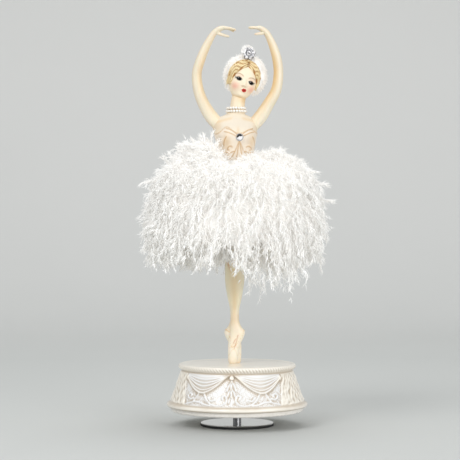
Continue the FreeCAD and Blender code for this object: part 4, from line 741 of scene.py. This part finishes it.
def lock_of_hair(side):
    """Hair swept from the parting to one side: strands run over the head's egg, ridged across and proud of it."""
    back = linspace(0, 1, 150)[:, None]
    down = linspace(0, 1, 60)[None]
    start_angle = radians(44 + 124 * back)
    start = xyz(0.02, cos(start_angle), sin(start_angle))
    end_angle = radians(-20 - 8 * back)
    turn = radians(62 + 86 * back)
    end = xyz(sin(turn) * cos(end_angle), cos(turn) * cos(end_angle), sin(end_angle))
    bulge = xyz(0.25, 0.25 * (1 - back), 0.2)
    heading = unit(start * (1 - down[..., None]) + end * down[..., None] + bulge * sin(pi * down)[..., None])
    ridges = abs(sin(back * 30 + 3.2 * sin(down * 6.5 + back * 5))) + 0.4 * sin(back * 96 + down * 14)
    proud = 0.75 + 0.6 * sin(pi * clip(down * 1.2, 0, 1)) + 0.45 * ridges - 0.5 * mound(down, 0, 0.05)
    right = heading[..., 0] * (10.4 + proud) * side
    forward = heading[..., 1] * (10 + proud) - 1.2 * back
    up = heading[..., 2] * (13.5 + proud)
    outer = head_frame(right, forward, up)
    inner = head_frame(heading[..., 0] * 8.6 * side, heading[..., 1] * 9 - 1.2 * back, heading[..., 2] * 12.2)
    # Painted shade in the grooves between the ridges, and darker where the strands start at the parting.
    shade = clip(1.05 - 1.05 * ridges + 0.5 * mound(down, 0, 0.06), 0, 1)
    paint = mix(HAIR, HAIR_SHADE, shade)
    rings = concatenate([outer, inner[:, ::-1]], 1)
    paints = concatenate([paint, paint[:, ::-1]], 1)
    if side > 0:
        rings, paints = rings[:, ::-1], paints[:, ::-1]
    return solid(rings, paint=paints)


def balls(centre, size, rows, sides, paint=WHITE):
    """Balls of given sizes round given centres, each of level rings between two poles."""
    polar = linspace(0, pi, rows + 2)[1:-1, None]
    around = round_steps(sides)
    ball = xyz(sin(polar) * cos(around), sin(polar) * sin(around), -cos(polar))
    pole = np.array([0, 0, 1]) * size[:, None]
    return tubes(centre[:, None, None] + ball * size[:, None, None, None], centre - pole, centre + pole, paint)


def hairline_curls(count):
    """Small curls in an arc over the brow, where the hair meets the headdress."""
    turn = radians(linspace(-12, 192, count))
    centre = head_frame(10.9 * cos(turn), 3.4, 1 + 12.8 * sin(turn))
    size = uniform(0.7, 1, count)
    paint = mix(HAIR, HAIR_SHADE, uniform(0.3, 1, count))
    return balls(centre, size, 4, 8, paint[:, None, None])


put("dancer_hair", [lock_of_hair(-1), lock_of_hair(1), hairline_curls(40)], hair_paint)


# Stones

# Painted reflections for the cut stones' corners, from white to near black.
FACET_REFLECTIONS = np.array([
    colour(*tone) for tone in [(252, 252, 255), (250, 248, 252), (205, 205, 212), (60, 58, 62), (10, 10, 16)]
])


def cut_stone(centre, size, sides, tones):
    """Cut stone that faces forward: back, girdle, crown and table rings drawn to a middle point, a tone a corner."""
    angle = round_steps(sides)
    outline = np.array([(0.8, 0.45), (1, 0.1), (0.8, -0.35), (0.45, -0.55)])
    radius, fore = outline[:, 0:1] * size, outline[:, 1:2] * size
    rings = xyz(radius * cos(angle), fore, radius * sin(angle)) + centre
    return solid(rings, np.add(centre, (0, 0.45 * size, 0)), np.add(centre, (0, -0.6 * size, 0)), tones)


def sparkle(sides):
    """Painted reflections of a foil-backed stone: mostly white corners, with some dark ones."""
    pick = chance.choice(len(FACET_REFLECTIONS), (4, sides), p=[0.42, 0.18, 0.12, 0.14, 0.14])
    return FACET_REFLECTIONS[pick]


def crescent(sides):
    """Painted reflections of the bodice stone: white below, with a dark crescent over its middle."""
    angle = round_steps(sides)[None]
    ring = np.array([0.2, 1, 1, 1])[:, None]
    return mix(FACET_REFLECTIONS[0], FACET_REFLECTIONS[4], ring * ease(-0.1, 0.3, sin(angle - 0.35)))


ROSETTE = np.array([8.2, -4.6, 260])


def make_rosette():
    """Scalloped silver plate behind the stones."""
    angle = round_steps(96)
    outline = np.array([(0.9, 1.4), (1, 1.1), (1, 0.5), (0.9, 0.2)])
    edge = (4.3 + 0.35 * cos(angle * 8)) * outline[:, 0:1]
    rings = xyz(edge * cos(angle), outline[:, 1:2], edge * sin(angle))
    return solid(rings + ROSETTE)


ring_turns = round_steps(8) + 0.2
ring_places = ROSETTE + 3.1 * xyz(cos(ring_turns), 0, sin(ring_turns))
stones = [cut_stone(place, 1.25, 10, sparkle(10)) for place in ring_places]
stones.append(cut_stone(ROSETTE + [0, -0.5, 0], 1.75, 12, sparkle(12)))
put("tiara_plate", [make_rosette()], black_silver, ["tiara"])
put("tiara_cut_stones", stones, cut_foil, ["tiara_stones"], smooth=False)
bodice_stone = cut_stone(np.array([1.7, -12.3, 201]), 2.15, 24, crescent(24))
put("bodice_stone", [bodice_stone], cut_foil, ["bodice_crystal"])


def pearl_row(count, wide, deep, up):
    """Row of equal pearls round the neck."""
    turn = round_steps(count)
    centre = xyz(-0.7 + wide * cos(turn), 0.6 + deep * sin(turn), up)
    return balls(centre, np.full(count, 0.98), 7, 12)


choker = [pearl_row(20, 6.2, 6, 221.9), pearl_row(21, 6.6, 6.2, 219.7)]
put("choker_pearls", choker, bead_pearl, ["pearl_choker"])


def make_ribbon(low, high):
    """Satin band round the waist: a thin closed loop set off the torso's ovals and creased. Gives its flat size too."""
    line = smooth_line(TORSO, 300)
    angle = round_steps(160)
    up = linspace(low, high, 14)[:, None]
    middle_x, middle_y, wide, deep = (np.interp(up, line[:, 0], line[:, column]) for column in range(1, 5))
    crease = 0.15 * sin(up * 2.1 + 0.6 * sin(angle * 3))
    layers = []
    for off in (1.35, 1):
        across, fore = (wide + off + crease) * cos(angle), (deep + off + crease) * sin(angle)
        layers.append(xyz(middle_x + across, middle_y + fore, up + HIP))
    outer, inner = layers
    loop = np.linalg.norm(np.roll(outer, 1, 1) - outer, axis=-1).sum(1).mean()
    rise = np.linalg.norm(np.diff(outer, axis=0), axis=-1).sum(0).mean()
    return shell(outer, inner), (loop * MM, rise * MM)


ribbon_shape, ribbon_flat = make_ribbon(14.5, 25)
waist_ribbon = put("waist_ribbon", [ribbon_shape], band_ribbon, ["waist_band"])


# Plumes

BELL = [
    (13, 182.5), (20, 186.3), (29.5, 187.4), (39.3, 184.4), (46.8, 178.9), (52.3, 171.7), (56.5, 162.7),
    (59.2, 152.7), (60.5, 141.4), (60.1, 129.8), (57.5, 118),
]
BELL_LINE = smooth_line(BELL, 240)
HEM_RADIUS = 57
SPINE_RINGS = 9
ASKEW = [0.3, 0.2, 1]
UP = np.array([0, 0, 1])
DOWN = -UP
PLUME_LOW = colour(252, 250, 248)
PLUME_HIGH = colour(255, 255, 254)


def outward(angle):
    """Level directions away from the axis."""
    return xyz(cos(angle), sin(angle), 0)


def sideways(angle):
    """Level directions round the axis."""
    return xyz(-sin(angle), cos(angle), 0)


def sway(count, spread, middle=0):
    """Chance shares round a middle, one a row."""
    return normal(middle, spread, (count, 1))


def bell_place(angle, share, lift=0):
    """Points of the tutu's bell at a turn and a share of its outline, with downhill, outward and sideways directions.
    The crown stands higher to either side of the bodice than before it."""
    at = clip(share, 0, 1) * (len(BELL_LINE) - 1)
    columns = concatenate([BELL_LINE, np.gradient(BELL_LINE, axis=0)], 1).T
    radius, height, run, fall = (np.interp(at, np.arange(len(BELL_LINE)), column) for column in columns)
    across = cos(angle)
    front = ease(0.2, 0.9, -sin(angle))
    crown = 1.5 * mound(across, -0.75, 0.4) - 13 * front * mound(across, -0.05, 0.33)
    height = height + crown * mound(share, 0.12, 0.16) + 8 * mound(across, -0.9, 0.35) * mound(share, 0.1, 0.1)
    length = np.hypot(run, fall)
    run, fall = (run / length)[..., None], (fall / length)[..., None]
    flat = outward(angle)
    along, out = flat * run + UP * fall, UP * run - flat * fall
    lift = np.broadcast_to(lift, np.shape(angle))[..., None]
    place = flat * radius[..., None] + UP * height[..., None] + out * lift
    return place + [FIGURE_X, 0, 0], along, out, sideways(angle)


def beside(heading):
    """Two directions square to each heading and to one another."""
    side = unit(np.cross(heading, ASKEW))
    return side, np.cross(heading, side)


def strand_paths(growth, wander, rings):
    """Paths from their roots whose heading turns from first to last, with a growing wave and a curl at the tip."""
    roots, first, last, curl, length = growth
    share = linspace(0, 1, rings)[None, :, None]
    blend = share ** 1.2
    heading = unit(first[:, None] * (1 - blend) + last[:, None] * blend + curl[:, None] * share ** 3)
    step = length[:, None, None] / (rings - 1)
    stride = np.cumsum((heading[:, 1:] + heading[:, :-1]) / 2 * step, 1)
    path = roots[:, None] + concatenate([0 * heading[:, :1], stride], 1)
    side, fore = beside(heading)
    phase = uniform(0, TURN, (len(roots), 1, 2))
    pace = uniform(0.7, 1.9, (len(roots), 1, 2)) * TURN
    drift = sin(share * pace + phase) * wander[:, None, None] * share
    return path + side * drift[..., 0:1] + fore * drift[..., 1:2], heading


def strands(growth, thick, wander, rings):
    """Tapering three-sided strands along such paths."""
    path, heading = strand_paths(growth, wander, rings)
    side, fore = beside(heading)
    width = thick[:, None] * (1 - 0.7 * linspace(0, 1, rings)[None] ** 1.5)
    tip = path[:, -1] + heading[:, -1] * thick[:, None] * 2
    return path[:, :, None] + circle(side, fore, 3) * width[:, :, None, None], path[:, 0], tip


def barbed_locks(growth, each, barb, thick):
    """Plume ends: round a drooping spine, short frizzy barbs lean forward and grow shorter to the tip."""
    path, heading = strand_paths(growth, 0.06 * growth[-1], SPINE_RINGS)
    count = len(path)
    share = uniform(0, 1, (count, each))
    at = share * (SPINE_RINGS - 1)
    low = np.minimum(at.astype(int), SPINE_RINGS - 2)
    rest = (at - low)[..., None]
    row = np.arange(count)[:, None]
    root = (path[row, low] * (1 - rest) + path[row, low + 1] * rest).reshape(-1, 3)
    ahead = heading[row, low].reshape(-1, 3)
    around = unit(np.cross(ahead, normal(0, 1, ahead.shape)))
    lean = uniform(0.2, 1.1, (len(root), 1))
    start = unit(ahead + around * lean)
    finish = unit(ahead + around * lean * 0.3 + DOWN * 0.2)
    reach = barb * (1.2 - 0.6 * share.ravel()) * uniform(0.6, 1.3, len(root))
    frizz = normal(0, 0.7, (len(root), 3))
    thick = thick * uniform(0.75, 1.25, len(root))
    return strands((root, start, finish, frizz, reach), thick, 0.13 * reach, 4)


def fluff(count, low, high, lift):
    """Short frizzy strands all over a belt of the bell, leaving it in every direction."""
    angle = uniform(0, TURN, count)
    share = uniform(low, high, count)
    place, along, out, aside = bell_place(angle, share, lift)
    bend = normal(0, 1, (count, 4, 1))
    first = unit(out * 0.6 + along * (0.5 + 0.5 * bend[:, 0]) + aside * 0.9 * bend[:, 1])
    last = unit(out * 0.1 + along * 0.7 + aside * 0.9 * bend[:, 2] + DOWN * (0.35 + 0.3 * bend[:, 3]))
    curl = normal(0, 1, (count, 3))
    length, thick, wander = (uniform(*ends, count) for ends in ((4.5, 10), (0.2, 0.34), (0.5, 1.6)))
    return strands((place, first, last, curl, length), thick, wander, 5)


def plume_tips(count, each, low, high, lift, reach, drop, barb=6, loose=1, thick=0.34):
    """Ends of plumes that leave a belt of the bell downhill and droop off it."""
    angle = round_steps(count) * 5 + normal(0, 0.1, count)
    share = uniform(low, high, count)
    place, along, out, aside = bell_place(angle, share, lift + normal(0, 0.8, count))
    bend = normal(0, 1, (count, 3, 1))
    first = unit(along + out * (0.2 + 0.2 * bend[:, 0]) * loose + aside * 0.6 * loose * bend[:, 1])
    last = unit(along * 0.5 + DOWN * drop + out * 0.1 * loose * bend[:, 0] + aside * 0.6 * loose * bend[:, 2])
    curl = out * sway(count, 0.6, 0.2) * loose + aside * sway(count, 1) * loose
    return barbed_locks((place, first, last, curl, reach * uniform(0.7, 1.3, count)), each, barb, thick)


def hem_locks(count, each):
    """Long locks that hang from under the bell to a ragged hem, longest at the front beside the leg."""
    angle = uniform(0, TURN, count)
    radius = uniform(24, HEM_RADIUS, count)
    inward = HEM_RADIUS - radius
    top = 134 - 0.2 * inward + uniform(-8, 6, count)
    out, aside = outward(angle), sideways(angle)
    root = out * radius[:, None] + xyz(FIGURE_X, 0, top)
    beside_leg = mound((angle + 1 + pi) % TURN - pi, 0, 0.42)
    before_leg = mound((angle + 1.9 + pi) % TURN - pi, 0, 0.4)
    hem = 115 - 19 * beside_leg + 8 * before_leg - 3 * inward / 30 + normal(0, 3.5, count)
    length = maximum(top - hem, 12)
    first = unit(DOWN * 0.8 + out * 0.25 + aside * sway(count, 0.25))
    last = unit(DOWN + out * sway(count, 0.14) + aside * sway(count, 0.22))
    curl = out * sway(count, 0.6) + aside * sway(count, 0.6)
    return barbed_locks((root, first, last, curl, length), each, 5.5, 0.32)


def stems(count, reach, lift):
    """Bare quills from the waist over the bell, four-sided and slimmer to the tip."""
    share = linspace(0, 1, 18)[None] * reach * uniform(0.9, 1.05, (count, 1))
    angle = round_steps(count)[:, None] + sway(count, 0.1) * share
    path, _, out, aside = bell_place(angle, share, lift)
    slim = (0.45 - 0.3 * share)[:, :, None, None]
    return path[:, :, None] + circle(aside, out, 4) * slim, path[:, 0], path[:, -1]


def underlay(low, high, outside, edge_outside, thickness):
    """Lumpy bed of down under the plumes: a closed skin below the bell that sinks towards its ragged lower edge."""
    angle = round_steps(180)[None]
    ragged = 0.03 * sin(angle * 17 + 2 * sin(angle * 3)) + 0.025 * sin(angle * 41)
    share = low + (high + ragged - low) * linspace(0, 1, 44)[:, None]
    lumps = sin(angle * 9 + share * 13) * sin(share * 31 + angle * 4)
    lumps = lumps + 0.7 * sin(angle * 23 - share * 37 + 2 * sin(angle * 5))
    depth = outside + (edge_outside - outside) * ease(high - 0.2, high, share)
    angles, shares = np.broadcast_arrays(angle, share)
    outer = bell_place(angles, shares, depth + 0.8 * lumps)[0]
    inner = bell_place(angles, shares, depth - thickness)[0]
    return shell(outer[::-1], inner[::-1], PLUME_LOW)


def put_plumes(name, group, pieces, stands_for):
    """Strands shared out round the waist into pieces of workable size, each strand of a slightly different white."""
    tube, start, tip = group
    order = np.argsort(np.arctan2(start[:, 1], start[:, 0]), kind="stable")
    for number, part in enumerate(np.array_split(order, pieces)):
        white = mix(PLUME_LOW, PLUME_HIGH, uniform(0, 1, len(part)))
        made = tubes(tube[part], start[part], tip[part], white[:, None, None])
        put(f"{name}_{number + 1}", [made], plume, stands_for, smooth=False)


# Beds go from one share of the bell to another; plumes have a count, barbs each, shares, lift, reach and droop
UPPER_ROW, LOWER_ROW = ["feather_row_upper"], ["feather_row_lower"]
put("tutu_down_upper", [underlay(0.02, 0.64, -1, -5.5, 2.5)], plume, UPPER_ROW)
put("tutu_down_lower", [underlay(0.42, 0.95, -4, -6, 2.5)], plume, LOWER_ROW)
put_plumes("tutu_fluff_upper", fluff(8000, 0, 0.6, -1), 2, UPPER_ROW)
put_plumes("tutu_fluff_lower", fluff(4000, 0.5, 0.9, -3.5), 1, LOWER_ROW)
put_plumes("tutu_plumes_upper", plume_tips(340, 26, 0.12, 0.6, 0, 15, 0.55, thick=0.27), 2, UPPER_ROW)
put_plumes("tutu_plumes_lower", plume_tips(330, 26, 0.55, 0.92, -2.5, 17, 0.9), 2, LOWER_ROW)
put_plumes("tutu_hem_locks", hem_locks(380, 28), 2, LOWER_ROW)
put_plumes("tutu_long_locks", plume_tips(120, 34, 0.56, 0.85, -1, 27, 1.6, 3.2, 0.45), 1, LOWER_ROW)
put_plumes("tutu_stems_upper", stems(60, 0.6, -2.5), 1, UPPER_ROW)
put_plumes("tutu_stems_lower", stems(70, 0.92, -6), 1, LOWER_ROW)


TUFTS = np.array([
    (-34, -8, 188, -0.45, 0.9, 14), (-30, -9, 190, -0.2, 1, 11), (-24, -12, 190, 0.1, 1, 12),
    (-19.5, -10, 190, 0.05, 1, 15), (-36, -4, 187, -0.35, 0.9, 10), (-16, -11, 184, -0.1, 1, 15),
    (-13, -12, 178, -0.15, 1, 13), (-22, -8, 190, -0.1, 1, 13), (-28, 4, 190, -0.2, 1, 11),
    (-44, -6, 180, -0.75, 0.6, 13), (-41, -8, 183, -0.6, 0.7, 9), (25, -6, 182, 0.3, 0.95, 13),
    (17.5, -8, 179, -0.1, 1, 9), (32, -4, 180, 0.6, 0.7, 10), (28, 6, 182, 0.2, 1, 11),
    (-51, -8, 169.5, -1, 0.3, 17), (-50, -10, 171, -1, 0.15, 15), (57, -8, 158, 1, -0.2, 10),
    (46, -6, 175, 0.9, 0.4, 10), (54, -10, 168, 1, 0.1, 9), (-57, -8, 140, -0.8, -0.6, 11),
])


def crest_tufts(each):
    """Upright plume ends along the tutu's crown and out at its sides."""
    root, length = TUFTS[:, :3], TUFTS[:, 5]
    rise = unit(xyz(TUFTS[:, 3], -0.15, TUFTS[:, 4]))
    last = unit(rise + normal(0, 0.25, rise.shape) + DOWN * 0.15)
    return barbed_locks((root, rise, last, normal(0, 0.6, rise.shape), length), each, 5, 0.32)


put_plumes("tutu_crest", crest_tufts(34), 1, UPPER_ROW)


# Headdress

CAP = np.array([5.6, 2.2, 245.2])
CAP_TILT = radians(14)
CAP_FRONT = 1.95
CAP_WIDE, CAP_DEEP, CAP_TALL = 14, 12.6, 14.2


def cap_place(turn, back, lift=0):
    """Points of the cap at a turn round its back-to-front axis and an angle from its back; its lower edge slants."""
    wide = (CAP_WIDE + lift) * sin(back) * cos(turn)
    tall = (CAP_TALL + lift) * sin(back) * sin(turn)
    x, z = turned(wide, tall, CAP_TILT)
    return xyz(x, (CAP_DEEP + lift) * cos(back), maximum(z, -10.8 - 0.2 * x)) + CAP


def make_cap():
    """Bed of down in the cap's shape, lumpy and closed across the front behind the face."""
    turn = round_steps(120)[None]
    back = linspace(0.04, CAP_FRONT, 50)[:, None]
    lumps = 0.35 * sin(turn * 11 + back * 9) * sin(back * 12 - turn * 3)
    rings = cap_place(*np.broadcast_arrays(turn, back), lumps)
    return solid(rings, CAP + [0, CAP_DEEP, 0], CAP + [0, -1, 0], PLUME_LOW)


def cap_plumes(count, front_share):
    """Short feather barbs that lie down over the cap and stand out along its front edge."""
    turn = uniform(0, TURN, count)
    at_front = uniform(0, 1, count) < front_share
    edge, anywhere = (uniform(low, CAP_FRONT, count) for low in (1.7, 0.1))
    root = cap_place(turn, np.where(at_front, edge, anywhere), -0.3)
    out = unit(root - CAP)
    bend = normal(0, 0.45, (2, count, 3))
    first = unit(out * 0.7 + DOWN * 0.35 + bend[0])
    last = unit(out * 0.2 + DOWN * 0.7 + bend[1])
    length = uniform(2, 3.8, count)
    curl, thick = normal(0, 0.7, (count, 3)), uniform(0.13, 0.22, count)
    return strands((root, first, last, curl, length), thick, 0.1 * length, 5)


def tiara_tuft(count):
    """Fan of fine barbs behind the rosette, longer up and to the left."""
    turn = radians(uniform(5, 215, count))
    out = xyz(cos(turn), normal(0.1, 0.25, count), sin(turn))
    root = ROSETTE + [0, 1, 0] + out * 2.6
    length = 1.9 + 2 * mound(np.degrees(turn), 125, 50) * uniform(0.6, 1.1, count)
    last = unit(out + normal(0, 0.3, out.shape))
    return strands((root, unit(out), last, 0 * out, length), uniform(0.16, 0.26, count), 0.05 * length, 5)


HEADDRESS = ["headdress"]
put("headdress_down", [make_cap()], plume, HEADDRESS)
put_plumes("headdress_barbs", cap_plumes(3000, 0.35), 1, HEADDRESS)
put_plumes("tiara_tuft", tiara_tuft(360), 1, HEADDRESS)


# Nodes that keep their own shape take their slot's finish
for part in frame["record"]["subparts"]:
    if part["material_slot"] in NODE_FINISHES:
        node = frame["nodes"][part["node"]]
        node.data.materials.clear()
        node.data.materials.append(NODE_FINISHES[part["material_slot"]])


# Stage

def make_stage():
    """Floor that sweeps up into a backdrop: a level run, a quarter arc and an upright run, drawn out sideways."""
    bend = linspace(0, pi / 2, 24)
    far_off, start, radius = 3000, 900, 700
    arc = np.stack([start + radius * sin(bend), radius - radius * cos(bend)], -1)
    line = concatenate([[(-far_off, 0), (600, 0)], arc, [(start + radius, far_off)]])
    points = xyz(np.array([far_off, -far_off]), line[:, 0:1], line[:, 1:2])
    made = Finish("pale_paper", roughness=0.9)
    apart = made.node("SeparateXYZ", vector=made.place)
    cloud = made.node("Math", {"operation": "MULTIPLY_ADD"})
    made.tree.links.new(made.noise(3), cloud.inputs[0])
    cloud.inputs[1].default_value = 0.3
    made.tree.links.new(apart.outputs["Y"], cloud.inputs[2])
    # Paper painted darker over the floor and lighter up the backdrop, with a cloudy boundary: painted shade and light.
    painted_backdrop_light = made.ranged(cloud.outputs["Value"], ends=(0.7, 1.7))
    tones = tuple(colour(196, 198, 196)), tuple(colour(215, 215, 213))
    made.feed(made.shader, base_color=made.tint(painted_backdrop_light, *tones))
    mesh = bpy.data.meshes.new("paper_sweep")
    quads = grid_quads(len(line), 2, False)[:, ::-1]
    mesh.from_pydata((points.reshape(-1, 3) * MM).tolist(), [], quads.tolist())
    mesh.polygons.foreach_set("use_smooth", np.ones(len(mesh.polygons), bool))
    mesh.materials.append(made.material)
    sweep = add("paper_sweep", mesh)


def lamp(name, place, target, size, power):
    """Soft square lamp aimed at a point."""
    data = bpy.data.lights.new(name, "AREA")
    data.energy = power
    data.size = size
    item = add(name, data)
    item.location = place
    item.rotation_euler = (Vector(target) - Vector(place)).to_track_quat("-Z", "Y").to_euler()


make_stage()
lamp("key", (-0.9, -1.3, 1.3), (0, 0, 0.14), 0.9, 14.2)
lamp("fill", (1, -1.4, 0.35), (0, 0, 0.14), 1, 13.5)
lamp("top", (0.1, 0.3, 1.5), (0, 0, 0.1), 1, 6)
scene = bpy.context.scene
scene.world = bpy.data.worlds.new("soft_room")
scene.world.use_nodes = True
room = scene.world.node_tree.nodes["Background"].inputs
room["Color"].default_value = (0.94, 0.96, 0.97, 1)
room["Strength"].default_value = 0.65
scene.cycles.diffuse_bounces = 12
scene.cycles.max_bounces = 16

SENSOR = 36
FOCAL_PIXELS, PICTURE_PIXELS = 1571, 460
lens = bpy.data.cameras.new("camera")
lens.sensor_width = SENSOR
lens.lens = SENSOR * FOCAL_PIXELS / PICTURE_PIXELS
lens.clip_end = 20
scene.camera = add("camera", lens)
scene.camera.location = (-0.005, -1.1, 0.1367)
scene.camera.rotation_euler = (pi / 2, 0, 0)
scene.view_settings.view_transform = "Standard"
